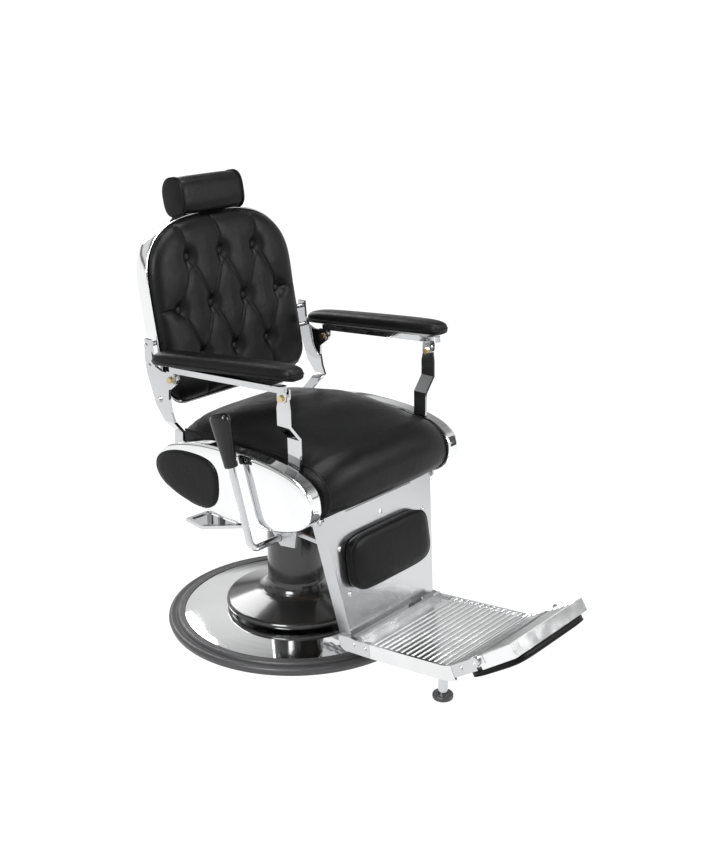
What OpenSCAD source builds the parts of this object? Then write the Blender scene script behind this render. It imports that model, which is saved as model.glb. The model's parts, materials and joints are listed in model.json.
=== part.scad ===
// Hydraulic barber chair: round floor base, telescoping column, reclining seat,
// parallel armrests and a swinging legrest with a ribbed footrest.
// Millimetres. +Z is up, the sitter faces -Y, and the origin is on the floor on the column's axis.

/* [Base and column] */
// Radius of the rubber floor ring
base_r = 330; // [310:1:350]
// Radial width of the rubber floor ring
ring_w = 42; // [38:1:50]
// Height of the rubber floor ring
ring_h = 24; // [22:1:26]
// Thickness of the cast base plate
plate_t = 14; // [12:1:15]
// Outer radius of the fixed pump cylinder
cylinder_r = 58; // [54:1:60]
// Radius of the hydraulic ram
ram_r = 30; // [26:1:32]
// Outer radius of the column cover
cover_r = 74; // [70:1:80]
// Radius of the cover's brim
brim_r = 181; // [170:1:195]
// Height of the brim's lower lip above the floor
brim_z = 39; // [39:1:48]

/* [Seat] */
// Half width of the seat cushion
seat_half = 220; // [210:1:221]
// Length of the seat cushion, front to back
seat_len = 492; // [470:1:496]
// Height of the seat board's top above the floor
seat_z = 462; // [460:1:466]
// Height of the cushion's sides above the board
seat_side_h = 60; // [50:1:70]
// Rise of the cushion's crown above its sides
seat_crown = 28; // [15:1:35]
// Thickness of the seat board
board_t = 12; // [9:1:15]
// Distance from the centre to the inside of a side frame
frame_in = 206; // [200:1:207]
// Thickness of a side frame
frame_t = 6; // [5:1:8]

/* [Side shells] */
// Distance from the centre to a shell's open edge
shell_in = 234; // [233:1:240]
// Distance from the centre to a shell's outermost point
shell_out = 275; // [272:1:280]
// Half height of a shell
shell_half_h = 88; // [80:1:90]
// Wall of a shell
shell_wall = 3; // [2:0.5:4]

/* [Back and headrest] */
// Lean of the back from the vertical, degrees
back_lean = 10.5; // [8:0.5:14]
// Half width of the back cushion
back_half = 235; // [225:1:239]
// Length of the back from its bottom edge to its top
back_len = 437; // [420:1:450]
// Depth of the polished rim
rim_depth = 32; // [26:1:36]
// Wall of the polished rim
rim_wall = 4; // [3:0.5:5]
// Thickness of the back cushion at its middle
back_pad = 52; // [46:1:60]
// Spacing of the buttons across the back
button_dx = 112; // [100:1:114]
// Spacing of the button rows
button_dz = 120; // [110:1:124]
// Radius of a button
button_r = 10; // [8:1:12]
// Half width of the headrest
head_half = 104; // [95:1:115]
// Height of the headrest
head_h = 92; // [86:1:104]
// Depth of the headrest
head_d = 76; // [66:1:80]

/* [Arms] */
// Distance from the centre to an arm's front pivot
arm_front_x = 258; // [256:1:260]
// Distance from the centre to an arm's rear pivot
arm_rear_x = 266; // [264:1:270]
// Length of an arm pad
pad_len = 436; // [420:1:460]
// Width of an arm pad
pad_w = 64; // [58:1:72]
// Thickness of an arm pad
pad_t = 34; // [28:1:40]
// Thickness of the flat bar in the posts and brackets
blade_t = 7; // [6:0.5:8]
// Width of the front posts
post_w = 36; // [30:1:40]

/* [Legrest] */
// Lean of the legrest panel, degrees
leg_lean = 9.6; // [7:0.2:12]
// Length of the legrest panel
leg_len = 294; // [280:1:300]
// Half width of the legrest panel at its top
leg_top_half = 200; // [190:1:202]
// Half width of the legrest panel at its bottom
leg_low_half = 156; // [150:1:158]
// Depth of the legrest panel's side flanges
leg_depth = 35; // [30:1:38]
// Sheet thickness of the legrest panel
sheet_t = 2.5; // [2:0.5:3]
// Half width of the footrest over its rails
foot_half = 163; // [161:1:166]
// Height of a footrest rail
rail_h = 35; // [28:1:37]
// Pitch of the footrest ribs
rib_pitch = 15.5; // [13:0.5:20]
// Half width of the calf pad
calf_half = 142; // [120:1:143]
// Height of the calf pad
calf_h = 130; // [110:1:134]
// Thickness of the calf pad
calf_t = 28; // [20:1:32]

/* [Lever] */
// Radius of the pump lever's rod
lever_r = 8; // [6:0.5:8]
// Distance from the centre to the lever's upright
lever_x = 302; // [300:1:310]
// Length of the lever from its shaft to the top of its grip
lever_len = 320; // [290:1:325]

/* [Hidden] */

chrome = [0.80, 0.81, 0.83];
steel = [0.62, 0.63, 0.65];
leather = [0.08, 0.08, 0.09];
rubber = [0.20, 0.20, 0.21];
gloss_black = [0.05, 0.05, 0.06];
brass = [0.72, 0.60, 0.36];
gap = 0.3;
fit = 0.05;

dome_r = base_r - ring_w;
dome_t = 3;
dome_rise = 13;
dome_rim_z = ring_h - 2;
flange_t = 8;
flange_r = 110;
flange_top = plate_t + flange_t;
bolt_pcr = 90;
bolt_r = 5;
bore_r = ram_r + 4;
cylinder_top = 300;
bush_flange = 6;
ram_bottom = 40;
turntable_z = 330;
turntable_t = 8;
turntable_r = 62;
spigot_r = ram_r - 6;
hub_z = turntable_z + turntable_t + gap;
hub_h = 41.4;
nut_h = 12;

chassis_z = 364;
chassis_t = 12;
chassis_half_y = 70;
board_z = seat_z - board_t;
frame_out = frame_in + frame_t;
blade_x = seat_half + 7.5;
shaft_r = 9;
pin_r = 7;
rod_r = 5.5;

// Pivots as [y, z]
back_pivot = [140, 410];
leg_pivot = [-262, 392];
arm_rear = [135, 663];
arm_front = [-214, 687];
post_pivot = back_pivot + arm_front - arm_rear;
crank_len = 80;
crank_x = 160;
crank_t = 6;
link_t = 7;

arm_slope = atan((arm_front[1] - arm_rear[1]) / (arm_rear[0] - arm_front[0]));
arm_toe = atan((arm_rear_x - arm_front_x) / (arm_rear[0] - arm_front[0]));
arm_span = norm(arm_front - arm_rear);
pad_rear = 42;
clevis_gap = blade_t + 1.2;
clevis_t = 5;
arm_bolt_r = 5;

seat_rear = 174;
roll_y = -246;

shell_cy = -40;
shell_cz = 420;
shell_front = 260;
shell_rear = 282;
shell_straight = 16;

back_org = [258, 790];
back_low = -220;
back_shoulder = 45;
back_sag = 1400;
back_top = back_low + back_len;

foot_slope = 6.2;
toe_slope = 34;
tread_start = [-335, 96];
tread_corner_y = -600;
bend_r = 90;
tread_t = 3;
rib_h = 3;
rail_t = 6;
rail_start_y = -378;
toe_len = 97;
knuckle_s = 78;
knuckle_r = 12;

lever_axis = [-146, 322];
lever_lean = 16.8;
lever_bend = 22;
release_r = 5;
release_z = 318;
release_x = 198;

function arc(cx, cy, r, a0, a1, n) =
    [for (i = [0:n]) let (a = a0 + (a1 - a0) * i / n) [cx + r * cos(a), cy + r * sin(a)]];
function spow(v, e) = sign(v) * pow(abs(v), e);
function rev(list) = [for (i = [len(list) - 1:-1:0]) list[i]];

// Skins a stack of rings that all have as many points, and closes both ends with a fan.
module loft(rings, flip = false) {
    n = len(rings[0]);
    m = len(rings);
    pts = [for (r = rings) for (p = r) p];
    side = [for (j = [0:m - 2]) for (i = [0:n - 1])
        let (a = j * n + i, b = j * n + (i + 1) % n)
        each [[a, a + n, b], [b, a + n, b + n]]];
    low = [for (i = [1:n - 2]) [0, i, i + 1]];
    top = [for (i = [1:n - 2]) [(m - 1) * n, (m - 1) * n + i + 1, (m - 1) * n + i]];
    all = concat(side, low, top);
    polyhedron(pts, flip ? [for (f = all) rev(f)] : all);
}

// Extrudes a [y, z] outline along X from x0 over t.
module slab(x0, t) {
    translate([x0, 0, 0]) rotate([90, 0, 90]) linear_extrude(t) children();
}

// Rod along X at [y, z] between two x values.
module xrod(p, r, x0, x1, fn = 48) {
    translate([x0, p[0], p[1]]) rotate([0, 90, 0]) cylinder(r = r, h = x1 - x0, $fn = fn);
}

module right_side() { mirror([1, 0, 0]) children(); }

// ---------- base ----------
module base_plate() {
    color(rubber) difference() {
        cylinder(r = dome_r - dome_t, h = plate_t, $fn = 96);
        for (a = [0:60:300])
            rotate(a) translate([bolt_pcr, 0, 4]) cylinder(r = bolt_r + gap, h = plate_t, $fn = 24);
    }
}

function dome_z(r) = dome_rim_z + dome_rise
    * (1 - pow((r - cylinder_r) / (dome_r - cylinder_r), 2));

module base_dome() {
    r_in = cylinder_r + 0.5;
    outer = [for (i = [0:12]) let (r = r_in + (dome_r - r_in) * i / 12) [r, dome_z(r)]];
    inner = [for (i = [0:12]) let (r = r_in + (dome_r - dome_t - r_in) * i / 12)
        [r, dome_z(r) - dome_t]];
    color(chrome) rotate_extrude($fn = 96)
        polygon(concat(outer, [[dome_r, 1], [dome_r - dome_t, 1]], rev(inner)));
}

module base_ring() {
    step = 8;
    color(rubber) rotate_extrude($fn = 96) polygon(concat(
        [[dome_r, 0], [base_r - 3, 0]],
        arc(base_r - step, ring_h - 14, step, 0, 90, 5),
        [[base_r - 18, ring_h - 7], [base_r - 21, ring_h - 7]],
        arc(base_r - 21 - step, ring_h - step, step, 0, 90, 5),
        [[dome_r, ring_h]]));
}

module pump_cylinder() {
    color(steel) difference() {
        rotate_extrude($fn = 72) polygon([[0, plate_t], [flange_r, plate_t],
            [flange_r, flange_top], [cylinder_r, flange_top], [cylinder_r, cylinder_top],
            [bore_r, cylinder_top], [bore_r, flange_top + 4], [0, flange_top + 4]]);
        for (a = [0:60:300])
            rotate(a) translate([bolt_pcr, 0, 4]) cylinder(r = bolt_r + gap, h = 40, $fn = 24);
    }
}

module cylinder_bush() {
    color(brass) rotate_extrude($fn = 72) polygon([[ram_r + fit, cylinder_top - 36],
        [bore_r, cylinder_top - 36], [bore_r, cylinder_top], [cylinder_r - 6, cylinder_top],
        [cylinder_r - 6, cylinder_top + bush_flange], [ram_r + fit, cylinder_top + bush_flange]]);
}

module base_bolts() {
    color(steel) for (a = [0:60:300]) rotate(a) translate([bolt_pcr, 0, 0]) {
        translate([0, 0, 6]) cylinder(r = bolt_r, h = flange_top - 6, $fn = 24);
        translate([0, 0, flange_top]) cylinder(r = 9, h = 5, $fn = 6);
    }
}

// ---------- lift ----------
module ram() {
    color(chrome) rotate_extrude($fn = 72) polygon([[0, ram_bottom], [bore_r - fit, ram_bottom],
        [bore_r - fit, ram_bottom + 20], [ram_r, ram_bottom + 20], [ram_r, turntable_z],
        [spigot_r, turntable_z], [spigot_r, hub_z + hub_h + gap + nut_h + 3],
        [0, hub_z + hub_h + gap + nut_h + 3]]);
}

module turntable() {
    color(steel) rotate_extrude($fn = 72) polygon([[spigot_r, turntable_z],
        [turntable_r, turntable_z], [turntable_r, turntable_z + turntable_t],
        [spigot_r, turntable_z + turntable_t]]);
}

module turntable_nut() {
    color(steel) translate([0, 0, hub_z + hub_h + gap]) difference() {
        cylinder(r = spigot_r + 9, h = nut_h, $fn = 6);
        translate([0, 0, -1]) cylinder(r = spigot_r, h = nut_h + 2, $fn = 48);
    }
}

module column_cover() {
    wall = 3;
    fillet = 38;
    fz = brim_z + 74;
    tilt = 75;
    lip_r = 9;
    edge = [brim_r - lip_r, brim_z + lip_r];
    outer = concat([[ram_r + 2, turntable_z], [cover_r - 4, turntable_z],
        [cover_r, turntable_z - 4]],
        arc(cover_r + fillet, fz, fillet, 180, 180 + tilt, 8),
        arc(edge[0], edge[1], lip_r, 90 - 15, -80, 9));
    inner = concat([[brim_r - lip_r - 3, brim_z + 3]],
        arc(cover_r + fillet, fz, fillet + wall, 180 + tilt, 180, 8),
        [[cover_r - wall, turntable_z - wall], [ram_r + 2, turntable_z - wall]]);
    color(gloss_black) rotate_extrude($fn = 96) polygon(concat(outer, inner));
}

// ---------- seat structure ----------
module seat_chassis() {
    web = 60;
    color(steel) difference() {
        union() {
            translate([0, 0, hub_z]) cylinder(r = 48, h = hub_h, $fn = 64);
            translate([0, 0, chassis_z]) linear_extrude(chassis_t) polygon([
                [-frame_in, -chassis_half_y], [-web, -chassis_half_y + 14],
                [web, -chassis_half_y + 14], [frame_in, -chassis_half_y],
                [frame_in, chassis_half_y], [web, chassis_half_y - 14],
                [-web, chassis_half_y - 14], [-frame_in, chassis_half_y]]);
            for (s = [-1, 1]) translate([0, s * 40, chassis_z + chassis_t])
                linear_extrude(18) square([2 * frame_in, 8], center = true);
            translate([0, 0, board_z - 12]) linear_extrude(12) difference() {
                square([2 * frame_in, 88], center = true);
                circle(r = 60, $fn = 64);
            }
            for (s = [-1, 1]) for (t = [-1, 1])
                translate([s * 150, t * 40, chassis_z + chassis_t]) linear_extrude(
                    board_z - 12 - chassis_z - chassis_t) square([30, 8], center = true);
        }
        translate([0, 0, hub_z - 1]) cylinder(r = spigot_r + fit, h = hub_h + 2, $fn = 72);
    }
}

module side_frame() {
    color(steel) difference() {
        slab(frame_in, frame_t) difference() {
            union() {
                polygon([[-266, 383], [-205, chassis_z + 6], [-195, 310], [-150, 304],
                    [-108, chassis_z - 14], [95, chassis_z - 14], [158, 396], [150, board_z],
                    [-221, board_z], [-256, 400]]);
                translate(back_pivot) circle(r = 20, $fn = 48);
                translate(leg_pivot) circle(r = 11, $fn = 40);
                translate(post_pivot) circle(r = 16, $fn = 40);
            }
            for (y = [-120, -30, 60]) translate([y, 416]) circle(r = 18, $fn = 40);
        }
        xrod(back_pivot, shaft_r + fit, frame_in - 5, frame_out + 5);
        xrod(post_pivot, pin_r, frame_in - 5, frame_out + 5);
        xrod(leg_pivot, rod_r, frame_in - 5, frame_out + 5);
        xrod(lever_axis, lever_r + fit + 1, frame_in - 5, frame_out + 5);
    }
}

module side_frame_left() { side_frame(); }
module side_frame_right() { right_side() side_frame(); }

module post_pins() {
    head = blade_x + blade_t / 2 + gap;
    color(steel) for (s = [0, 1]) mirror([s, 0, 0]) {
        xrod(post_pivot, pin_r, frame_in, head);
        xrod(post_pivot, pin_r + 4, frame_out, blade_x - blade_t / 2 - gap);
        xrod(post_pivot, pin_r + 3, head, head + 3);
    }
}

module shell_standoffs() {
    color(steel) for (s = [0, 1]) mirror([s, 0, 0])
        for (p = [[-120, 376], [-30, 374], [60, 376]])
            xrod(p, 6, frame_out, shell_x(shell_rho(p - [0, 6])) - shell_wall - 4 * gap, 24);
}

module legrest_hinge_rod() {
    color(chrome) xrod(leg_pivot, rod_r, -frame_out - 3, frame_out + 3);
}

module lever_bearing() {
    color(steel) right_side() difference() {
        slab(frame_in - 34, 34) union() {
            translate(lever_axis) circle(r = 17, $fn = 48);
            translate(lever_axis - [17, 0]) square([34, 46]);
        }
        xrod(lever_axis, lever_r + fit, frame_in - 40, frame_in + 5);
    }
}

module release_hangers() {
    color(steel) right_side() for (y = [0, 62]) difference() {
        translate([release_x - 10, y - 3, release_z - 10])
            cube([frame_in - release_x + 10, 6, chassis_z + 10 - release_z]);
        translate([release_x, y - 5, release_z]) rotate([-90, 0, 0])
            cylinder(r = release_r + fit, h = 10, $fn = 32);
    }
}

module seat_board() {
    color("peru") translate([15 - seat_half, roll_y + gap, board_z]) linear_extrude(board_t)
        square([2 * seat_half - 30, seat_rear - 22 - roll_y]);
}

// One slice of the seat cushion at the share u of its half width: sides, crown and front roll.
function seat_slice(u) =
    let (e = pow(abs(u), 4), y1 = seat_rear - 8 * e, y0 = seat_rear - seat_len + 10 * e,
        top = seat_z + seat_side_h + seat_crown * (1 - e), low = 405 + 4 * e, x = u * seat_half,
        in_x = x * (1 - 0.012 * (1 - e)))
    concat([[x, y1 - 4, seat_z + gap], [x, roll_y, seat_z + gap], [x, roll_y - 4, low + 18],
            [x, roll_y - 8, low + 4], [x, roll_y - 16, low]],
        [for (p = arc(y0 + 42, low + 42, 42, 262, 180, 5)) [x, p[0] + 2, p[1]]],
        [for (p = arc(y0 + 72, top - 72, 72, 180, 96, 7)) [in_x, p[0], p[1]]],
        [for (k = [1:4]) [in_x, y0 + 72 + (y1 - y0 - 110) * k / 4, top + 4 * sin(45 * k)]],
        [for (p = arc(y1 - 24, top - 24, 24, 70, 0, 3)) [in_x, p[0], p[1]]]);

module seat_cushion() {
    us = [-1, -0.97, -0.88, -0.72, -0.5, -0.25, 0, 0.25, 0.5, 0.72, 0.88, 0.97, 1];
    color(leather) loft([for (u = us) let (s = seat_slice(u)) s]);
}

// ---------- side shells ----------
// Outline of a shell at the angle a (0 at the front, 180 at the rear), scaled by rho, drawn in by d.
function shell_pt(a, rho, d) =
    let (c = cos(a), s = sin(a), n = c > 0 ? 2.6 : 2.15,
        ay = (c > 0 ? shell_front : shell_rear) - d, lift = c > 0 ? 0 : 12 * c * c)
    [shell_cy - ay * rho * spow(c, 2 / n), shell_cz + (shell_half_h - d) * rho * spow(s, 2 / n)
        + lift * rho];
function shell_x(rho) = shell_in + shell_straight
    + (shell_out - shell_in - shell_straight) * sqrt(1 - pow(min(rho, 1), 4));
function shell_rho(p) = let (y = abs(p[0] - shell_cy) / (p[0] < shell_cy ? shell_front : shell_rear),
    z = abs(p[1] - shell_cz) / shell_half_h, n = p[0] < shell_cy ? 2.6 : 2.15)
    pow(pow(y, n) + pow(z, n), 1 / n);
function shell_ring(x, rho, d) =
    [for (i = [0:39]) let (q = shell_pt(i * 9, rho, d)) [x, q[0], q[1]]];

module shell() {
    rhos = [0.3, 0.5, 0.66, 0.82, 0.92, 0.97, 1];
    outer = [for (r = rhos) shell_ring(shell_x(r), r, 0)];
    inner = [for (r = rev(rhos)) shell_ring(shell_x(r) - shell_wall, r, shell_wall)];
    color(chrome) loft(concat(outer, [shell_ring(shell_in, 1, 0)],
        [shell_ring(shell_in, 1, shell_wall)], inner));
}

module shell_left() { shell(); }
module shell_right() { right_side() shell(); }

// Padded panel that follows the rear half of the shell, raised by h.
function inset_grid(h) = [for (i = [0:16]) let (a = 104 + 152 * i / 16)
    [for (k = [0:8]) let (rim = shell_pt(a, 0.87, 0), z0 = (rim[1] - shell_cz) / shell_half_h,
        front = 4 + 34 * z0 * z0, t = max(0.02, min(0.98, (front - shell_cy)
            / max(1, rim[0] - shell_cy))),
        rho = 0.87 * (t + (1 - t) * k / 8), q = shell_pt(a, rho, 0),
        edge = (i == 0 || i == 16 || k == 0 || k == 8) ? 0.5 : 1)
        [shell_x(rho) + 3 * gap + h * edge, q[0], q[1]]]];

module grid_solid(low, top) {
    m = len(low);
    n = len(low[0]);
    pts = concat([for (r = low) for (p = r) p], [for (r = top) for (p = r) p]);
    off = m * n;
    skin = [for (j = [0:m - 2]) for (i = [0:n - 2]) let (a = j * n + i) each [
        [a, a + 1, a + n], [a + 1, a + n + 1, a + n],
        [off + a, off + a + n, off + a + 1], [off + a + 1, off + a + n, off + a + n + 1]]];
    ring = concat([for (i = [0:n - 2]) i], [for (j = [0:m - 2]) j * n + n - 1],
        [for (i = [n - 1:-1:1]) (m - 1) * n + i], [for (j = [m - 1:-1:1]) j * n]);
    wall = [for (k = [0:len(ring) - 1]) let (a = ring[k], b = ring[(k + 1) % len(ring)]) each [
        [a, off + a, b], [b, off + a, off + b]]];
    polyhedron(pts, concat(skin, wall));
}

module shell_inset() { color(leather) grid_solid(inset_grid(0), inset_grid(4)); }
module shell_inset_left() { shell_inset(); }
module shell_inset_right() { right_side() shell_inset(); }

// ---------- back ----------
module lean() { translate([0, back_org[0], back_org[1]]) rotate([-back_lean, 0, 0]) children(); }

function back_w(s, grow = 0) =
    let (corner = 60, h = back_top + grow - back_shoulder, top = max(0, s - back_shoulder) / h,
        low = max(0, back_low - grow + corner - s))
    (back_half + grow) * pow(max(0, 1 - pow(top, 2.8)), 1 / 2.8)
        - (low > 0 ? corner - sqrt(max(0, corner * corner - low * low)) : 0);
function back_outline(grow) =
    let (s0 = back_low - grow, s1 = back_top + grow,
        rows = concat([for (a = [0:10:80]) s0 + 60 * (1 - cos(a))],
            [for (k = [0:7]) s0 + 60 + (back_shoulder - s0 - 60) * k / 8],
            [for (a = [0:6:84]) back_shoulder + (s1 - back_shoulder) * sin(a)], [s1]))
    concat([for (s = rows) if (back_w(s, grow) > 0.5) [back_w(s, grow), s]],
        [for (s = rev(rows)) if (back_w(s, grow) > 0.5) [-back_w(s, grow), s]]);

module back_plate(y0, t, grow) {
    lean() translate([0, y0 + t, 0]) rotate([90, 0, 0]) linear_extrude(t)
        polygon(back_outline(grow));
}

module back_rim() {
    color(chrome) difference() {
        back_plate(-rim_depth, rim_depth + 6, 1 + rim_wall);
        back_plate(-rim_depth - 1, rim_depth + 20, 1);
    }
}

module back_panel() { color(gloss_black) back_plate(gap, 6 - gap, 0.7); }

// Buttons as [x, s] in the back's plane: rows of three, four and three.
buttons = [for (row = [-1, 0, 1]) for (k = [0:row == 0 ? 3 : 2])
    [(k - (row == 0 ? 1.5 : 1)) * button_dx, row * button_dz]];

function pleat(x, s) = let (q = abs(x / button_dx - s / (2 * button_dz)) % 1,
    p = abs(x / button_dx + s / (2 * button_dz)) % 1,
    d = min(abs(q - (0.5)), abs(p - (0.5))) * button_dx)
    abs(s) < button_dz ? 3 * exp(-pow(d / 7, 2)) : 0;
function tuft(x, s) = max([for (b = buttons) exp(-(pow(x - b[0], 2) + pow(s - b[1], 2)) / 420)]);
function back_front(x, s, u, v) =
    -(rim_depth * 0.5 + (back_pad - rim_depth * 0.5) * pow((1 - pow(abs(u), 6))
        * (1 - pow(abs(v), 8)), 0.5)) - x * x / (2 * back_sag)
        + 20 * tuft(x, s) + pleat(x, s);

// Grid lines of the cushion's front: even between the buttons, closing up towards the edges.
function spread(half, n, step, edge, m) = let (inner = n * step,
    side = concat([for (k = [1:n]) k * step],
        [for (k = [1:m]) inner + (edge - inner) * sin(90 * k / m)]))
    half ? side : concat([for (x = rev(side)) -x], [0], side);
back_cols = spread(false, 6, button_dx / 4, back_half, 6);
back_rows = concat([for (x = rev(spread(true, 4, button_dz / 4, -back_low, 8))) -x], [0],
    spread(true, 4, button_dz / 4, back_top - 1, 8));
function pad_w(s) = back_w(s) - 0.9;
function pad_x(c, s) = let (w = pad_w(s), f = min(1, w / (0.9 * back_half)),
    inner = 6 * button_dx / 4)
    abs(c) <= inner ? c * f
        : sign(c) * (inner * f + (w - inner * f) * (abs(c) - inner) / (back_half - inner));
function back_at(x, s) = back_front(x, s, x / pad_w(s), 2 * (s - back_low) / back_len - 1);

module back_cushion() {
    grid = [for (s = back_rows) [for (c = back_cols) let (x = pad_x(c, s)) [x, back_at(x, s), s]]];
    back = [for (r = grid) [for (p = r) [p[0], 0, p[2]]]];
    color(leather) lean() grid_solid(grid, back);
}

module back_buttons() {
    dx = button_dx / 4;
    dz = button_dz / 4;
    color(leather) lean() for (b = buttons) {
        mid = back_at(b[0], b[1]);
        slope_x = mid - min(back_at(b[0] - dx, b[1]), back_at(b[0] + dx, b[1]));
        slope_z = mid - min(back_at(b[0], b[1] - dz), back_at(b[0], b[1] + dz));
        y = mid - button_r * norm([slope_x / dx, slope_z / dz]) - 0.7;
        translate([b[0], y, b[1]]) rotate([90, 0, 0]) intersection() {
            translate([0, 0, -7]) sphere(r = 12.5, $fn = 24);
            cylinder(r = button_r, h = 8, $fn = 24);
        }
    }
}

module recline_shaft() {
    color(steel) {
        xrod(back_pivot, shaft_r, -blade_x - blade_t / 2, blade_x + blade_t / 2);
        for (s = [0, 1]) mirror([s, 0, 0]) difference() {
            union() {
                slab(crank_x, crank_t) union() {
                    translate(back_pivot) circle(r = 17, $fn = 40);
                    translate(back_pivot - [8, crank_len]) square([16, crank_len]);
                    translate(back_pivot - [0, crank_len]) circle(r = 9, $fn = 32);
                }
                xrod(back_pivot - [0, crank_len], 4, crank_x - link_t - 1, crank_x + 1, 24);
                xrod(back_pivot, shaft_r + 4, frame_out + gap, blade_x - blade_t / 2);
            }
        }
    }
}

// Bent strip in the [x, z] plane: upright at x_top, a slanted jog, upright at x_low.
module bent_strip(x_top, x_low, z_top, z_jog, z_foot, z_low, y0, y1) {
    t = blade_t / 2;
    translate([0, y1, 0]) rotate([90, 0, 0]) linear_extrude(y1 - y0) polygon([
        [x_top + t, z_top], [x_top + t, z_jog - 1], [x_low + t, z_foot - 1], [x_low + t, z_low],
        [x_low - t, z_low], [x_low - t, z_foot + 1], [x_top - t, z_jog + 1], [x_top - t, z_top]]);
}

module bracket() {
    lug = arm_rear;
    color(chrome) difference() {
        intersection() {
            bent_strip(arm_rear_x, blade_x, 790, 556, 520, 380, 60, 300);
            slab(180, 120) union() {
                polygon([[227, 746], [206, 746], [202, 704], [192, 684], [172, 676],
                    [lug[0] + 4, lug[1] + 14], [lug[0] - 8, lug[1] - 12], [149, 634], [150, 610],
                    [144, 580], [134, 556], [150, 520], [152, 480], [126, back_pivot[1]],
                    [158, back_pivot[1] + 8], [182, 480], [178, 520], [168, 556], [196, 590],
                    [223, 663], [229, 700]]);
                translate(lug) circle(r = 15, $fn = 40);
                translate(back_pivot) circle(r = 18, $fn = 48);
            }
        }
        xrod(back_pivot, shaft_r, 180, 300);
        xrod(lug, arm_bolt_r + fit, 180, 320, 32);
    }
}

module bracket_left() { bracket(); }
module bracket_right() { right_side() bracket(); }

spacer_s = [-65, -114];
spacer_y = -25;
spacer_r = 6;
module bracket_spacers() {
    color(chrome) for (s = [0, 1]) mirror([s, 0, 0]) lean() for (k = spacer_s)
        translate([back_half + 1 + rim_wall + 0.1, spacer_y, k]) rotate([0, 90, 0])
            cylinder(r = spacer_r, h = arm_rear_x - blade_t / 2 - back_half - 1 - rim_wall - 0.1, $fn = 32);
}

module bracket_screws() {
    color(steel) for (s = [0, 1]) mirror([s, 0, 0]) {
        lean() for (k = spacer_s)
            translate([arm_rear_x + blade_t / 2, spacer_y, k]) rotate([0, 90, 0])
                cylinder(r1 = 6, r2 = 4, h = 3, $fn = 24);
        xrod([184, 604], 7, arm_rear_x + blade_t / 2, arm_rear_x + blade_t / 2 + 5, 32);
    }
}

module headrest_socket() {
    color(chrome) lean() translate([0, 6, back_top - 70]) difference() {
        translate([-30, 0, 0]) cube([60, 16, 66]);
        translate([-16 - fit, 4, -1]) cube([32 + 2 * fit, 8, 68]);
    }
}

head_s = back_top + rim_wall + 3;
module headrest_bar() {
    color(chrome) lean() translate([-16, 10 + fit, back_top - 66])
        cube([32, 8 - 2 * fit, head_s - back_top + 66 + head_h / 2 - 14]);
    color(chrome) lean() translate([-18, 14, head_s + head_h / 2 - 6]) rotate([0, 90, 0])
        cylinder(r = 8, h = 36, $fn = 40);
}

module headrest_plate() {
    pivot = head_s + head_h / 2 - 6;
    color(steel) lean() difference() {
        union() {
            translate([-50, -2, pivot - 22]) cube([100, 4, 44]);
            for (s = [-1, 1]) translate([s * 22.4 - 4, 2, pivot - 10]) cube([8, 12, 20]);
            for (s = [-1, 1]) translate([s * 22.4 - 4, 14, pivot]) rotate([0, 90, 0])
                cylinder(r = 10, h = 8, $fn = 40);
        }
        translate([-14, -3, pivot - 30]) cube([28, 12, 60]);
    }
}

// D-shaped slice of the headrest: flat at the rear, round in front.
function head_slice(x, d) = let (hh = head_h / 2 - d, back = -gap - 2 - d * 0.6,
    f = head_d - d) [for (a = [0:15:345]) let (c = cos(a), s = sin(a),
        drop = c < 0 && s > 0 ? 12 * c * c : 0)
    [x, back - f * (0.5 + 0.5 * spow(c, 0.72)),
        head_s + head_h / 2 + (hh - drop) * spow(s, 0.62)]];

module headrest_cushion() {
    h = head_half;
    color(leather) lean() translate([0, 28, 0]) difference() {
        loft([head_slice(-h, 4), head_slice(-h + 3, 0.5), head_slice(-h + 10, 0),
            head_slice(-h * 0.4, -1), head_slice(h * 0.4, -1), head_slice(h - 10, 0),
            head_slice(h - 3, 0.5), head_slice(h, 4)], true);
        translate([-54, -30 - gap, head_s - 20]) cube([108, 60, head_h / 2 + 42]);
    }
}

// ---------- arms and posts ----------
module post() {
    b = arm_front;
    p = post_pivot;
    w = post_w / 2;
    color(chrome) difference() {
        intersection() {
            bent_strip(arm_front_x, blade_x, 720, 622, 586, 400, -300, -100);
            slab(180, 120) union() {
                polygon([[b[0] - w * 0.7, b[1] + 4], [b[0] - w + 1, b[1] - 26],
                    [b[0] - w - 2, 540], [p[0] - 14, p[1]], [p[0] + 14, p[1]],
                    [b[0] + w - 2, 540], [b[0] + w + 1, b[1] - 26], [b[0] + w * 0.7, b[1] + 4]]);
                translate(b) circle(r = 14, $fn = 40);
                translate(p) circle(r = 16, $fn = 40);
            }
        }
        xrod(b, arm_bolt_r + gap, 180, 300, 32);
        xrod(p, pin_r + fit, 180, 300);
    }
}

module post_left() { post(); }
module post_right() { right_side() post(); }

// Frame of an arm: origin at its rear pivot, -Y towards its front pivot.
module arm_frame(x, toe) {
    translate([x, arm_rear[0], arm_rear[1]]) rotate([-arm_slope, 0, 0]) rotate([0, 0, toe])
        children();
}

module clevis(x, p) {
    difference() {
        for (s = [-1, 1]) {
            x0 = x + (s > 0 ? clevis_gap / 2 : -clevis_gap / 2 - clevis_t);
            slab(x0, clevis_t) union() {
                translate(p) circle(r = 12, $fn = 40);
                translate(p - [12, 0]) square([24, 19]);
            }
        }
        xrod(p, arm_bolt_r, x - 30, x + 30, 32);
    }
}

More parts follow.
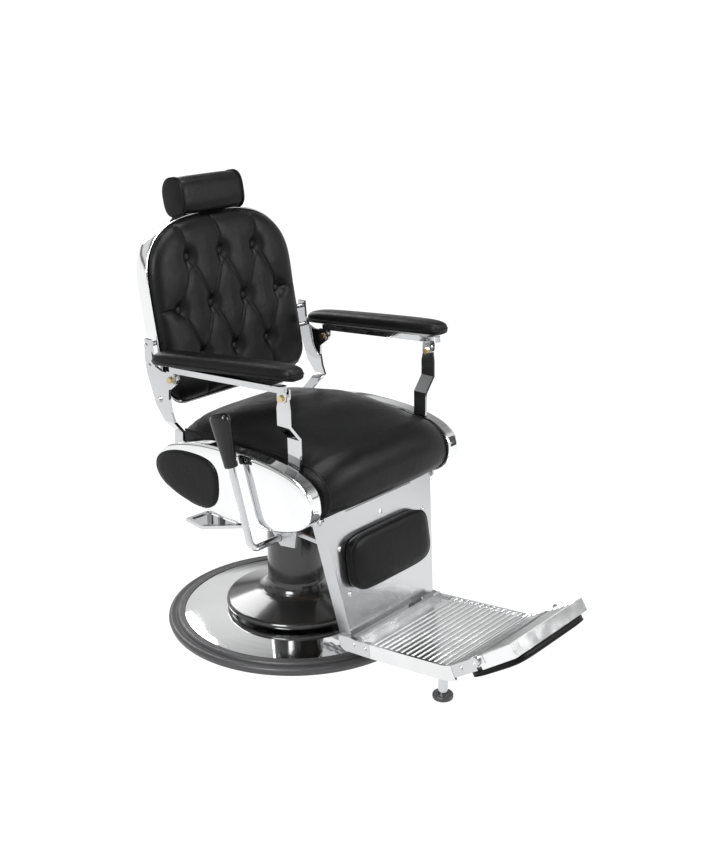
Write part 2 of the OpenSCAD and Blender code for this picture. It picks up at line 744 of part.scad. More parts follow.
module arm_rail() {
    end = -arm_span - 12;
    color(chrome) union() {
        arm_frame(arm_rear_x, arm_toe) {
            translate([-11, end, 18]) cube([22, arm_span + 10, 14]);
            translate([0, end, 18]) cylinder(r = 11, h = 14, $fn = 40);
            translate([-20, end + 14, 32]) cube([40, arm_span - 22, 3]);
        }
        clevis(arm_rear_x, arm_rear);
        clevis(arm_front_x, arm_front);
    }
}

module arm_rail_left() { arm_rail(); }
module arm_rail_right() { right_side() arm_rail(); }

module arm_pivots() {
    color(brass) for (q = [[arm_rear_x, arm_rear], [arm_front_x, arm_front]]) {
        half = clevis_gap / 2 + clevis_t;
        xrod(q[1], arm_bolt_r, q[0] - half, q[0] + half, 32);
        xrod(q[1], 8.5, q[0] + half, q[0] + half + 5, 6);
        xrod(q[1], 8.5, q[0] - half - 5, q[0] - half, 6);
    }
}

module arm_pivots_left() { arm_pivots(); }
module arm_pivots_right() { right_side() arm_pivots(); }

// Cross-section of an arm pad at the share t of its length.
function pad_slice(t) = let (e = 2 * t - 1, k = pow(max(0, 1 - pow(abs(e), 7)), 1 / 2.6),
    y = pad_rear - pad_len * t, w = pad_w / 2 * (0.55 + 0.45 * k) * (t > 0.5 ? 1 : 0.94),
    low = 35 + gap, h = pad_t * (0.62 + 0.38 * k))
    [for (a = [0:22.5:337.5]) let (c = cos(a), s = sin(a))
        [w * spow(c, 0.6), y, low + h * (s < 0 ? 0.42 + 0.42 * spow(s, 0.35)
            : 0.42 + 0.58 * spow(s, 0.8))]];

module arm_pad() {
    ts = [0.004, 0.02, 0.06, 0.14, 0.3, 0.5, 0.7, 0.84, 0.93, 0.975, 0.996];
    color(leather) arm_frame(arm_rear_x + 2, arm_toe) loft([for (t = ts) pad_slice(t)], true);
}

module arm_pad_left() { arm_pad(); }
module arm_pad_right() { right_side() arm_pad(); }

// ---------- legrest ----------
module leg_frame() {
    translate([0, leg_pivot[0], leg_pivot[1]]) rotate([-leg_lean, 0, 0]) children();
}
leg_face = -8;
calf_z = -128;

function leg_half(z) = leg_top_half + (leg_low_half - leg_top_half) * (-z / leg_len);

module leg_wedge(inset, y0, y1, z0, z1) {
    translate([0, y1, 0]) rotate([90, 0, 0]) linear_extrude(y1 - y0) polygon([
        [-leg_half(z0) + inset, z0], [leg_half(z0) - inset, z0],
        [leg_half(z1) - inset, z1], [-leg_half(z1) + inset, z1]]);
}

module legrest_panel() {
    color(steel) difference() {
        union() {
            leg_frame() difference() {
                leg_wedge(0, leg_face, leg_face + leg_depth, -2, -leg_len);
                leg_wedge(3, leg_face + sheet_t, leg_face + leg_depth + 1, -1, -leg_len - 1);
                translate([0, leg_face - 1, -36]) rotate([-90, 0, 0])
                    cylinder(r = 6, h = 5, $fn = 32);
            }
            for (s = [0, 1]) mirror([s, 0, 0]) {
                difference() {
                    slab(crank_x, crank_t) polygon([[leg_pivot[0] - 22, 322],
                        [leg_pivot[0] - 22, 296], [leg_pivot[0] + 9, 300],
                        [leg_pivot[0] + 9, 318]]);
                    leg_frame() translate([100, leg_face - 40, -200])
                        cube([100, 40 + sheet_t - 0.5, 200]);
                }
                xrod(leg_pivot - [0, crank_len], 4, crank_x - link_t - 1, crank_x + 1, 24);
                xrod(leg_pivot, 9, 120, 193, 40);
                slab(120, 73) polygon([[leg_pivot[0] - 5, leg_pivot[1] - 12],
                    [leg_pivot[0] - 4, leg_pivot[1]], [leg_pivot[0] + 4, leg_pivot[1]],
                    [leg_pivot[0] + 2, leg_pivot[1] - 12]]);
            }
        }
        xrod(leg_pivot, rod_r + fit, -230, 230);
        leg_frame() translate([-300, leg_face - 20, -30]) cube([600, 20, 60]);
    }
}

module legrest_screws() {
    color(chrome) leg_frame() for (s = [-1, 1]) for (q = [[157, -80], [144, -194]])
        translate([s * (q[0] - 2), leg_face, q[1]]) rotate([90, 0, 0])
            cylinder(r1 = 5, r2 = 3.4, h = 2.4, $fn = 24);
}

function calf_ring(d, y) = [for (a = [0:12:348])
    [(calf_half - d) * spow(cos(a), 0.34), y, (calf_h / 2 - d) * spow(sin(a), 0.46)]];

module calf_pad() {
    t = calf_t;
    color(leather) leg_frame() translate([0, leg_face - gap, calf_z]) loft([
        calf_ring(2, 0), calf_ring(0, -3), calf_ring(0, -t * 0.6), calf_ring(3, -t * 0.85),
        calf_ring(12, -t), calf_ring(40, -t - 3)]);
}

module link_rods() {
    a = back_pivot - [0, crank_len];
    b = leg_pivot - [0, crank_len];
    slope = atan((a[1] - b[1]) / (a[0] - b[0]));
    color(steel) for (s = [0, 1]) mirror([s, 0, 0]) difference() {
        slab(crank_x - link_t - gap, link_t - gap) union() {
            translate(b) rotate(slope) translate([0, -5]) square([norm(a - b), 10]);
            translate(a) circle(r = 9, $fn = 32);
            translate(b) circle(r = 9, $fn = 32);
        }
        xrod(a, 4 + fit, 100, 200, 24);
        xrod(b, 4 + gap, 100, 200, 24);
    }
}

// Path of the footrest: level part, bend, toe part. s runs forward, h stands square to the path.
foot_dir = [-cos(foot_slope), sin(foot_slope)];
toe_dir = [-cos(toe_slope), sin(toe_slope)];
flat_len = (tread_start[0] - tread_corner_y) / cos(foot_slope);
tangent = bend_r * tan((toe_slope - foot_slope) / 2);
bend_len = bend_r * (toe_slope - foot_slope) * PI / 180;
bend_s = flat_len - tangent;
toe_s = bend_s + bend_len;
function foot_at(s, h) = s < bend_s
    ? tread_start + s * foot_dir + h * [foot_dir[1], -foot_dir[0]]
    : s < toe_s
    ? let (a = foot_slope + (s - bend_s) / bend_r * 180 / PI, up = [sin(foot_slope),
        cos(foot_slope)], c = tread_start + bend_s * foot_dir + bend_r * up)
        c - (bend_r - h) * [sin(a), cos(a)]
    : tread_start + flat_len * foot_dir + (s - toe_s + tangent) * toe_dir
        + h * [toe_dir[1], -toe_dir[0]];
function foot_steps(s0, s1) = concat([s0],
    [for (k = [0:6]) let (s = bend_s + bend_len * k / 6) if (s > s0 && s < s1) s], [s1]);

module foot_strip(s0, s1, h0, h1) {
    st = foot_steps(s0, s1);
    polygon(concat([for (s = st) foot_at(s, h1)], [for (s = rev(st)) foot_at(s, h0)]));
}

// Sheet with ribs across it: trapezoid ridges at an even pitch.
module ribbed(s0, s1, x) {
    n = floor((s1 - s0 - 8) / rib_pitch);
    lead = (s1 - s0 - n * rib_pitch) / 2;
    tops = [for (k = [0:n]) let (s = s0 + lead + k * rib_pitch) each
        [[s - 4, 0], [s - 2, rib_h], [s + 2, rib_h], [s + 4, 0]]];
    line = concat([[s0, 0]], tops, [[s1, 0]]);
    slab(-x, 2 * x) polygon(concat([for (q = line) foot_at(q[0], q[1])],
        [for (s = rev(foot_steps(s0, s1))) foot_at(s, -tread_t)]));
}

knuckle_at = toe_s + knuckle_s - 20;
knuckle = foot_at(knuckle_at, -4);
rail_s0 = (tread_start[0] - rail_start_y) / cos(foot_slope);
rail_s1 = bend_s + bend_len * 0.75;
rail_top = 5;

module legrest_elbows() {
    face = leg_pivot + leg_len * [-sin(leg_lean), -cos(leg_lean)];
    across = [cos(leg_lean), -sin(leg_lean)];
    a = face + (leg_face) * across - 0.2 * [sin(leg_lean), cos(leg_lean)];
    b = face + (leg_face + leg_depth) * across - 0.2 * [sin(leg_lean), cos(leg_lean)];
    color(chrome) for (s = [0, 1]) mirror([s, 0, 0]) {
        slab(foot_half - rail_t - 5, rail_t + 5) polygon([a, b, [b[0] - 1, b[1] - 10],
            [b[0] - 7, foot_at(0, 0)[1] - 26], [b[0] - 22, foot_at(0, 0)[1] - 31],
            foot_at(rail_s0 - 0.6, rail_top - rail_h), foot_at(rail_s0 - 0.6, rail_top),
            foot_at(2, rail_top)]);
        for (q = [foot_at(-6, -8), foot_at(28, -11)])
            xrod(q, 5, foot_half, foot_half + 2, 24);
    }
}

module footrest_rails() {
    bar = foot_at(flat_len - 50, -tread_t);
    color(chrome) {
        for (s = [0, 1]) mirror([s, 0, 0]) slab(foot_half - rail_t, rail_t)
            foot_strip(rail_s0, rail_s1, rail_top - rail_h, rail_top);
        slab(-foot_half + rail_t, 2 * (foot_half - rail_t))
            foot_strip(flat_len - 62, flat_len - 38, -tread_t - 14, -tread_t);
    }
}

module footrest_tread() {
    in_x = foot_half - rail_t - 5;
    color(chrome) union() {
        ribbed(rail_s0, knuckle_at - knuckle_r - 1, foot_half - rail_t);
        slab(-in_x, 2 * in_x) difference() {
            foot_strip(6, rail_s0, -16, 0);
            foot_strip(24, rail_s0 - 4, -20, -tread_t);
        }
        slab(-in_x, 2 * in_x) foot_strip(6, 14, 0, 14);
    }
}

module toe_lugs() {
    color(chrome) for (s = [0, 1]) mirror([s, 0, 0]) {
        difference() {
            slab(foot_half - rail_t, rail_t) union() {
                foot_strip(rail_s1 + 0.8, knuckle_at, rail_top - 28, rail_top);
                translate(knuckle) circle(r = knuckle_r, $fn = 40);
            }
            xrod(knuckle, 4 + fit, 100, 200, 32);
        }
        xrod(foot_at(rail_s1 + 24, -8), 5.5, foot_half, foot_half + 2, 24);
    }
}

stop_x = 112;
stop_z = 12;
stop_s = flat_len - 50;
module foot_stop_stems() {
    p = foot_at(stop_s, -tread_t - 15);
    color(chrome) for (s = [-1, 1]) difference() {
        translate([s * stop_x, p[0], stop_z + 7])
            cylinder(r = 11, h = p[1] + 4 - stop_z - 7, $fn = 40);
        slab(-200, 400) foot_strip(flat_len - 90, flat_len - 10, -tread_t - 14, 10);
    }
}

module foot_stop_pads() {
    p = foot_at(stop_s, -tread_t - 15);
    color(rubber) for (s = [-1, 1]) translate([s * stop_x, p[0], stop_z]) rotate_extrude($fn = 40)
        polygon(concat([[0, 0], [19, 0]], arc(19, 5, 5, -90, 0, 4), arc(19, 9, 5, 0, 90, 4),
            [[11 + gap, 14], [11 + gap, 7], [0, 7]]));
}

flap_s0 = knuckle_at + knuckle_r + 2;
flap_s1 = knuckle_at + toe_len;
flap_x0 = foot_half - rail_t - 0.4;
flap_x1 = 137;
module toe_flap() {
    h0 = -26;
    color(chrome) union() {
        intersection() {
            union() {
                ribbed(flap_s0, flap_s1 - 8, flap_x0 + 5);
                slab(-170, 340) foot_strip(flap_s1 - 8, flap_s1, h0, rail_top);
                for (s = [0, 1]) mirror([s, 0, 0]) slab(flap_x1 - 6, 30)
                    foot_strip(flap_s0 - 6, flap_s1, h0, rail_top - 1);
                slab(-160, 320) foot_strip(flap_s0 + 4, flap_s1, h0, h0 + 3);
            }
            toe_plan();
        }
        for (s = [0, 1]) mirror([s, 0, 0]) {
            slab(flap_x0 - 11, 10.6) difference() {
                union() {
                    translate(knuckle) circle(r = knuckle_r - 1, $fn = 40);
                    foot_strip(knuckle_at, flap_s0 + 8, -14, 4);
                }
            }
            xrod(knuckle, 4, flap_x0 - 8, foot_half - 1, 32);
        }
        slab(-120, 240) foot_strip(knuckle_at - 50, flap_s0 + 6, h0, h0 + 3);
    }
}

// Plan outline of the toe flap, square to the toe part: narrower at the tip.
module toe_plan() {
    o = foot_at(flap_s0 - 8, 0);
    translate([0, o[0], o[1]]) rotate([-toe_slope, 0, 0]) translate([0, 0, -60])
        linear_extrude(100) polygon([[-flap_x0, 0], [flap_x0, 0], [flap_x1, -140],
            [-flap_x1, -140]]);
}

function toe_ring(h, d) = let (s0 = knuckle_at - 64 + d, s1 = flap_s1 + 4 - d)
    [for (a = [0:12:348]) let (u = spow(cos(a), 0.3), v = spow(sin(a), 0.45),
        s = (s0 + s1) / 2 + v * (s1 - s0) / 2, q = foot_at(s, h))
        [(flap_x1 + 4 - d) * u, q[0], q[1]]];

module toe_pad() {
    color(leather) loft([toe_ring(-26 - gap, 3), toe_ring(-30, 0), toe_ring(-37, 1),
        toe_ring(-42, 7), toe_ring(-44, 20)], true);
}

// ---------- levers ----------
module lever_frame() {
    translate([0, lever_axis[0], lever_axis[1]]) rotate([-lever_lean, 0, 0]) children();
}

module pump_lever() {
    top = lever_len - 110;
    color(chrome) right_side() lever_frame() {
        translate([frame_in - 36, 0, 0]) rotate([0, 90, 0])
            cylinder(r = lever_r, h = lever_x - lever_bend - frame_in + 36, $fn = 40);
        translate([lever_x - lever_bend, 0, lever_bend]) rotate([90, 0, 0])
            rotate([0, 0, -90]) rotate_extrude(angle = 90, $fn = 64)
                translate([lever_bend, 0]) circle(r = lever_r, $fn = 40);
        translate([lever_x, 0, lever_bend]) cylinder(r = lever_r, h = top - lever_bend, $fn = 40);
    }
}

function grip_ring(z, wx, wy) = [for (a = [0:15:345])
    [lever_x + wx * spow(cos(a), 0.75), wy * spow(sin(a), 0.75), z]];

module lever_grip() {
    z0 = lever_len - 126;
    z1 = lever_len;
    color(gloss_black) right_side() lever_frame() difference() {
        loft([grip_ring(z0, 13, 15), grip_ring(z0 + 3, 14, 16), grip_ring(z0 + 40, 15, 18),
            grip_ring(z0 + 96, 16, 26), grip_ring(z1 - 12, 16, 28), grip_ring(z1 - 4, 14, 25),
            grip_ring(z1, 8, 16)]);
        translate([lever_x, 0, z0 - 1]) cylinder(r = lever_r, h = 17, $fn = 40);
    }
}

// Flat bar bent to a U, with a round hinge rod along Y and a thin plate inside it.
module release_loop() {
    x = release_x;
    t = release_r - 1;
    color(chrome) right_side() translate([0, 0, release_z]) union() {
        translate([x, -26, 0]) rotate([-90, 0, 0]) cylinder(r = release_r, h = 132, $fn = 40);
        translate([0, 0, -t]) linear_extrude(2 * t) polygon([[x, 101], [x + 74, 106],
            [x + 84, 40], [x + 12, -35], [x, -21], [x, -9], [x + 9, -21], [x + 73, 44],
            [x + 65, 96], [x, 91]]);
        translate([0, 0, -1]) linear_extrude(2) polygon([[x + 14, 94], [x + 67, 98],
            [x + 75, 43], [x + 16, -15]]);
    }
}

base_plate();
base_dome();
base_ring();
pump_cylinder();
cylinder_bush();
base_bolts();
ram();
turntable();
turntable_nut();
column_cover();
seat_chassis();
side_frame_right();
side_frame_left();
post_pins();
shell_standoffs();
legrest_hinge_rod();
lever_bearing();
release_hangers();
seat_board();
seat_cushion();
shell_right();
shell_left();
shell_inset_right();
shell_inset_left();
recline_shaft();
bracket_right();
bracket_left();
bracket_spacers();
bracket_screws();
back_rim();
back_panel();
back_cushion();
back_buttons();
headrest_socket();
headrest_bar();
headrest_plate();
headrest_cushion();
post_right();
post_left();
arm_rail_right();
arm_rail_left();
arm_pivots_right();
arm_pivots_left();
arm_pad_right();
arm_pad_left();
link_rods();
legrest_panel();
legrest_screws();
calf_pad();
legrest_elbows();
footrest_rails();
footrest_tread();
toe_lugs();
foot_stop_stems();
foot_stop_pads();
toe_flap();
toe_pad();
pump_lever();
lever_grip();
release_loop();
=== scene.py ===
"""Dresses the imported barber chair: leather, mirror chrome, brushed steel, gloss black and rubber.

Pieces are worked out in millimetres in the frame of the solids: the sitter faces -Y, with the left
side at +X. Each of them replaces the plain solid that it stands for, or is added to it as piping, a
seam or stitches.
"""
import json
import math

import bmesh
import bpy
import numpy as np
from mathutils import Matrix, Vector


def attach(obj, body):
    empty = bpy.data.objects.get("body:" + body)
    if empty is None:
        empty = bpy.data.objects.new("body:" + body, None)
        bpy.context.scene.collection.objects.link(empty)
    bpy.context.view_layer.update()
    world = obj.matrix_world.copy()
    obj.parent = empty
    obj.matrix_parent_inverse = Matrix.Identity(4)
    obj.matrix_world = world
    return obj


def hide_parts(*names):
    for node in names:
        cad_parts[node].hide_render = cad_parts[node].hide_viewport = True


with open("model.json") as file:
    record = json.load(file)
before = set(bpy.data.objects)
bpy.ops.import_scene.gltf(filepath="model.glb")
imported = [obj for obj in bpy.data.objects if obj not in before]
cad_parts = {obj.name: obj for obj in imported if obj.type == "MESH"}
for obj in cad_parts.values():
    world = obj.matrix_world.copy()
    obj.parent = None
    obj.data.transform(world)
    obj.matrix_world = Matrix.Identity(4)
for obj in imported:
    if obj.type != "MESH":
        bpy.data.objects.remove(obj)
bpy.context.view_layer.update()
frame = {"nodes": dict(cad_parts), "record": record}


def add_object(name, data):
    """An object of the given data at the origin, linked to the scene."""
    ob = bpy.data.objects.new(name, data)
    bpy.context.scene.collection.objects.link(ob)
    return ob


# ---------- camera ----------
AZIMUTH, RISE, DISTANCE = math.radians(-49.546), math.radians(18.924), 3.2696
AIM = Vector((0.23397, 0.0, 0.44))
FOCAL_PX, PICTURE_TALL_PX, SENSOR = 1250, 858, 36
TO_CAMERA = Vector((math.sin(AZIMUTH) * math.cos(RISE), -math.cos(AZIMUTH) * math.cos(RISE),
                    math.sin(RISE)))

lens = bpy.data.cameras.new("camera")
lens.lens = FOCAL_PX / PICTURE_TALL_PX * SENSOR
lens.sensor_width = SENSOR
lens.clip_end = 5000
camera = add_object("camera", lens)
camera.location = AIM + TO_CAMERA * DISTANCE
camera.rotation_euler = (-TO_CAMERA).to_track_quat("-Z", "Y").to_euler()
bpy.context.scene.camera = camera


# ---------- shader helpers ----------
FLOAT, COLOUR, VECTOR = "NodeSocketFloat", "NodeSocketColor", "NodeSocketVector"


def node(tree, kind, **values):
    """Adds a node and sets its properties and inputs by name, with _ for a space."""
    made = tree.nodes.new(kind)
    for key, value in values.items():
        label = key.replace("_", " ")
        if label in made.inputs:
            made.inputs[label].default_value = value
        else:
            setattr(made, key, value)
    return made


def group(name, inputs, outputs):
    """A node group with the given sockets, and its nodes for what goes in and comes out."""
    tree = bpy.data.node_groups.new(name, "ShaderNodeTree")
    for way, sockets in (("INPUT", inputs), ("OUTPUT", outputs)):
        for label, kind in sockets.items():
            tree.interface.new_socket(label, in_out=way, socket_type=kind)
    return tree, tree.nodes.new("NodeGroupInput").outputs, tree.nodes.new("NodeGroupOutput").inputs


def patches_group():
    """Soft patches: noise stretched from Low and High to 0 and 1 mixes Dark with Light, and noise
    four times finer spreads the roughness from Smooth to Rough."""
    tree, given, out = group(
        "patches", {"Dark": COLOUR, "Light": COLOUR, "Low": FLOAT, "High": FLOAT, "Scale": FLOAT,
                    "Smooth": FLOAT, "Rough": FLOAT}, {"Color": COLOUR, "Roughness": FLOAT})
    where = tree.nodes.new("ShaderNodeTexCoord").outputs["Object"]
    wide = node(tree, "ShaderNodeTexNoise", Detail=5.0)
    share = node(tree, "ShaderNodeMapRange")
    mix = node(tree, "ShaderNodeMix", data_type="RGBA")
    times_four = node(tree, "ShaderNodeMath", operation="MULTIPLY")
    times_four.inputs[1].default_value = 4
    fine = node(tree, "ShaderNodeTexNoise", Detail=4.0, Roughness=0.6)
    spread = node(tree, "ShaderNodeMapRange", From_Min=0.3, From_Max=0.7)
    for source, target in (
            (where, wide.inputs["Vector"]), (given["Scale"], wide.inputs["Scale"]),
            (wide.outputs["Fac"], share.inputs["Value"]), (given["Low"], share.inputs["From Min"]),
            (given["High"], share.inputs["From Max"]), (share.outputs[0], mix.inputs["Factor"]),
            (given["Dark"], mix.inputs["A"]), (given["Light"], mix.inputs["B"]),
            (mix.outputs["Result"], out["Color"]), (where, fine.inputs["Vector"]),
            (given["Scale"], times_four.inputs[0]), (times_four.outputs[0], fine.inputs["Scale"]),
            (fine.outputs["Fac"], spread.inputs["Value"]),
            (given["Smooth"], spread.inputs["To Min"]), (given["Rough"], spread.inputs["To Max"]),
            (spread.outputs[0], out["Roughness"])):
        tree.links.new(source, target)
    return tree


def relief_group(name, kind, socket):
    """Height of a texture of this kind, Scale of it to the metre and stretched by Squeeze."""
    tree, given, out = group(name, {"Scale": FLOAT, "Squeeze": VECTOR}, {"Height": FLOAT})
    where = tree.nodes.new("ShaderNodeTexCoord").outputs["Object"]
    squeeze, texture = tree.nodes.new("ShaderNodeMapping"), tree.nodes.new(kind)
    for source, target in (
            (where, squeeze.inputs["Vector"]), (given["Squeeze"], squeeze.inputs["Scale"]),
            (squeeze.outputs[0], texture.inputs["Vector"]),
            (given["Scale"], texture.inputs["Scale"]), (texture.outputs[socket], out["Height"])):
        tree.links.new(source, target)
    return tree


# ---------- finishes ----------
PATCHES = patches_group()
GRAIN = relief_group("grain", "ShaderNodeTexNoise", "Fac")
PORES = relief_group("pores", "ShaderNodeTexVoronoi", "Distance")
EVEN = (1, 1, 1)
FINISH = {}


def grey(value):
    """The same value for red, green and blue."""
    return (value, value, value)


def finish(name, dark, light, rough, relief, metallic=0.0, scale=6.0, edges=(0.3, 0.7), **sockets):
    """A material with patches from dark to light, two limits of roughness and a stack of bumps."""
    mat = bpy.data.materials.new(name)
    mat.use_nodes = True
    tree = mat.node_tree
    shader = tree.nodes["Principled BSDF"]
    shader.inputs["Metallic"].default_value = metallic
    for key, value in sockets.items():
        shader.inputs[key.replace("_", " ")].default_value = value
    patches = node(tree, "ShaderNodeGroup", node_tree=PATCHES, Dark=(*dark, 1), Light=(*light, 1),
                   Low=edges[0], High=edges[1], Scale=scale, Smooth=rough[0], Rough=rough[1])
    tree.links.new(patches.outputs["Color"], shader.inputs["Base Color"])
    tree.links.new(patches.outputs["Roughness"], shader.inputs["Roughness"])
    normal = None
    for pattern, fineness, squeeze, strength, distance in relief:
        layer = node(tree, "ShaderNodeGroup", node_tree=pattern, Scale=fineness, Squeeze=squeeze)
        bump = node(tree, "ShaderNodeBump", Strength=strength, Distance=distance)
        tree.links.new(layer.outputs["Height"], bump.inputs["Height"])
        if normal:
            tree.links.new(normal, bump.inputs["Normal"])
        normal = bump.outputs["Normal"]
    tree.links.new(normal, shader.inputs["Normal"])
    FINISH[name] = mat


finish("leather", grey(0.002), (0.0042, 0.0042, 0.0045), (0.3, 0.42),
       [(PORES, 620, EVEN, 0.32, 0.0007), (GRAIN, 70, EVEN, 0.22, 0.002),
        (GRAIN, 16, EVEN, 0.18, 0.006)], Specular_IOR_Level=0.14)
finish("chrome", (0.56, 0.565, 0.575), (0.63, 0.635, 0.645), (0.03, 0.075),
       [(GRAIN, 3.5, EVEN, 0.05, 0.01)], 1.0)
finish("mirror", (0.80, 0.805, 0.81), (0.87, 0.875, 0.88), (0.025, 0.06),
       [(GRAIN, 3.5, EVEN, 0.06, 0.012)], 1.0)
finish("steel", (0.46, 0.465, 0.475), (0.58, 0.585, 0.595), (0.26, 0.4),
       [(GRAIN, 260, (1, 1, 0.15), 0.1, 0.0005)], 1.0)
finish("brushed", (0.52, 0.525, 0.535), (0.62, 0.625, 0.635), (0.16, 0.27),
       [(GRAIN, 900, (0.03, 1, 1), 0.04, 0.0003), (GRAIN, 4, EVEN, 0.08, 0.012)], 1.0, 2.5)
finish("aluminium", (0.72, 0.725, 0.73), (0.82, 0.825, 0.83), (0.14, 0.24),
       [(GRAIN, 1100, (0.02, 1, 1), 0.09, 0.0004)], 1.0)
finish("brass", (0.55, 0.44, 0.24), (0.7, 0.58, 0.34), (0.14, 0.26),
       [(GRAIN, 60, EVEN, 0.05, 0.001)], 1.0)
finish("rubber", (0.030, 0.030, 0.032), (0.042, 0.042, 0.044), (0.34, 0.48),
       [(GRAIN, 420, EVEN, 0.08, 0.0005)])
finish("gloss_black", grey(0.011), grey(0.016), (0.14, 0.2),
       [(GRAIN, 5, EVEN, 0.03, 0.008), (GRAIN, 500, EVEN, 0.03, 0.0004)],
       Coat_Weight=0.5, Coat_Roughness=0.07)
finish("black_grip", grey(0.003), grey(0.005), (0.16, 0.24), [(GRAIN, 40, EVEN, 0.05, 0.001)],
       Coat_Weight=0.15, Coat_Roughness=0.06, Specular_IOR_Level=0.3)
finish("cast_iron", grey(0.03), grey(0.045), (0.55, 0.7), [(GRAIN, 190, EVEN, 0.3, 0.001)])
finish("wood", (0.42, 0.29, 0.16), (0.56, 0.40, 0.24), (0.5, 0.65),
       [(GRAIN, 120, (0.05, 1, 1), 0.2, 0.001)], edges=(0.35, 0.65))

for part in frame["record"]["subparts"]:
    solid = frame["nodes"][part["node"]]
    solid.data.materials.clear()
    bright = part["node"] == "base_dome"
    solid.data.materials.append(FINISH["mirror" if bright else part["material_slot"]])


# ---------- mesh helpers, in millimetres ----------
def turned(pts, degrees, i, j):
    """Points turned about the origin, from the axis i towards the axis j."""
    c, s = math.cos(math.radians(degrees)), math.sin(math.radians(degrees))
    out = np.array(pts, float)
    a, b = out[..., i].copy(), out[..., j].copy()
    out[..., i], out[..., j] = a * c - b * s, a * s + b * c
    return out


def rot_x(pts, degrees):
    """Points turned about x, from y towards z."""
    return turned(pts, degrees, 1, 2)


def rot_z(pts, degrees):
    """Points turned about z, from x towards y."""
    return turned(pts, degrees, 0, 1)


def mirror(pts):
    """Points of the left side moved to the right one."""
    return np.array(pts, float) * (-1, 1, 1)


SIDES = (("right", mirror), ("left", np.array))


def spow(value, power):
    """Power of the size of a value with its sign kept, which squares a circle off."""
    return np.sign(value) * np.abs(value) ** power


def angles(count):
    """Even steps round a full turn, without its end."""
    return np.linspace(0, 2 * np.pi, count, endpoint=False)


def sheet(x, y, z):
    """Points of three coordinates, each an array or one value for all."""
    return np.stack(np.broadcast_arrays(x, y, z), -1).astype(float)


def piece(name, shape, body, slot, nodes=(), look=None):
    """Makes a smooth mesh of millimetre points and faces, turned outward, and lets it ride."""
    verts, faces = shape
    mesh = bpy.data.meshes.new(name)
    mesh.from_pydata((np.asarray(verts) / 1000.0).tolist(), [], faces)
    bm = bmesh.new()
    bm.from_mesh(mesh)
    bmesh.ops.remove_doubles(bm, verts=bm.verts, dist=1e-6)
    bmesh.ops.recalc_face_normals(bm, faces=bm.faces)
    bm.to_mesh(mesh)
    bm.free()
    mesh.polygons.foreach_set("use_smooth", [True] * len(mesh.polygons))
    mesh.materials.append(FINISH[look or slot])
    ob = add_object(name, mesh)
    if nodes:
        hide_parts(*nodes)
    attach(ob, body)


def grid_faces(rows, cols, around=False, closed=False):
    """Quads of a rows x cols grid, joined around its columns or from its last row to its first."""
    j, i = np.mgrid[0:rows if closed else rows - 1, 0:cols if around else cols - 1]
    j2, i2 = (j + 1) % rows, (i + 1) % cols
    quads = np.stack([j * cols + i, j * cols + i2, j2 * cols + i2, j2 * cols + i], -1)
    return quads.reshape(-1, 4).tolist()


def skin(rings, caps=True):
    """Points and faces of a stack of closed rings, with a fan to the middle of each end."""
    rings = np.asarray(rings, float)
    rows, cols, _ = rings.shape
    verts, faces = rings.reshape(-1, 3), grid_faces(rows, cols, around=True)
    if caps:
        verts = np.vstack([verts, rings[0].mean(0), rings[-1].mean(0)])
        i = np.arange(cols)
        following, last = (i + 1) % cols, (rows - 1) * cols
        faces += np.stack([i * 0 + rows * cols, following, i], 1).tolist()
        faces += np.stack([i * 0 + rows * cols + 1, last + i, last + following], 1).tolist()
    return verts, faces


def tube(points, radius, closed=False, sides=12):
    """Round cord along points: rings square to the path, carried along without twist."""
    p = np.asarray(points, float)
    tangent = np.roll(p, -1, 0) - np.roll(p, 1, 0) if closed else np.gradient(p, axis=0)
    tangent /= np.linalg.norm(tangent, axis=1)[:, None]
    normal = np.cross(tangent[0], (0.31, 0.57, 0.76))
    t = angles(sides)[:, None]
    rings = []
    for place, along in zip(p, tangent):
        normal = normal - along * normal.dot(along)
        normal /= np.linalg.norm(normal)
        rings.append(place + radius * (np.cos(t) * normal + np.sin(t) * np.cross(along, normal)))
    if closed:
        return np.array(rings).reshape(-1, 3), grid_faces(len(p), sides, True, True)
    return skin(rings)


def lathe(profile, origin, axis, sides):
    """Turns a profile of (radius, height) about the axis through the origin given."""
    w = np.array(axis, float) / np.linalg.norm(axis)
    u = np.cross(w, (0.2, 0.9, 0.4))
    u /= np.linalg.norm(u)
    t = angles(sides)[:, None]
    ring = np.cos(t) * u + np.sin(t) * np.cross(w, u)
    return skin([np.array(origin, float) + r * ring + h * w for r, h in profile])


def together(parts):
    """Several pairs of points and faces as one."""
    verts, faces, count = [], [], 0
    for v, f in parts:
        verts.append(v)
        faces += [tuple(i + count for i in face) for face in f]
        count += len(v)
    return np.vstack(verts), faces


def smooth_line(points, count):
    """Resamples a polyline evenly along a Catmull-Rom curve through its points."""
    p = np.asarray(points, float)
    q = np.vstack([2 * p[0] - p[1], p, 2 * p[-1] - p[-2]])
    a, b, c, d = (q[k:k + len(p) - 1, None] for k in range(4))
    t = np.linspace(0, 1, 12, endpoint=False)[None, :, None]
    curve = 0.5 * (2 * b + (c - a) * t + (2 * a - 5 * b + 4 * c - d) * t ** 2
                   + (3 * b - a - 3 * c + d) * t ** 3)
    curve = np.vstack([curve.reshape(-1, p.shape[1]), p[-1:]])
    run = np.r_[0, np.cumsum(np.linalg.norm(np.diff(curve, axis=0), axis=1))]
    at = np.linspace(0, run[-1], count)
    return np.stack([np.interp(at, run, column) for column in curve.T], 1)


def arc(cy, cz, r, start, end, steps):
    """Points of an arc about [cy, cz], from one angle to another in degrees."""
    t = np.radians(np.linspace(start, end, steps + 1))
    return [(cy + r * math.cos(a), cz + r * math.sin(a)) for a in t]


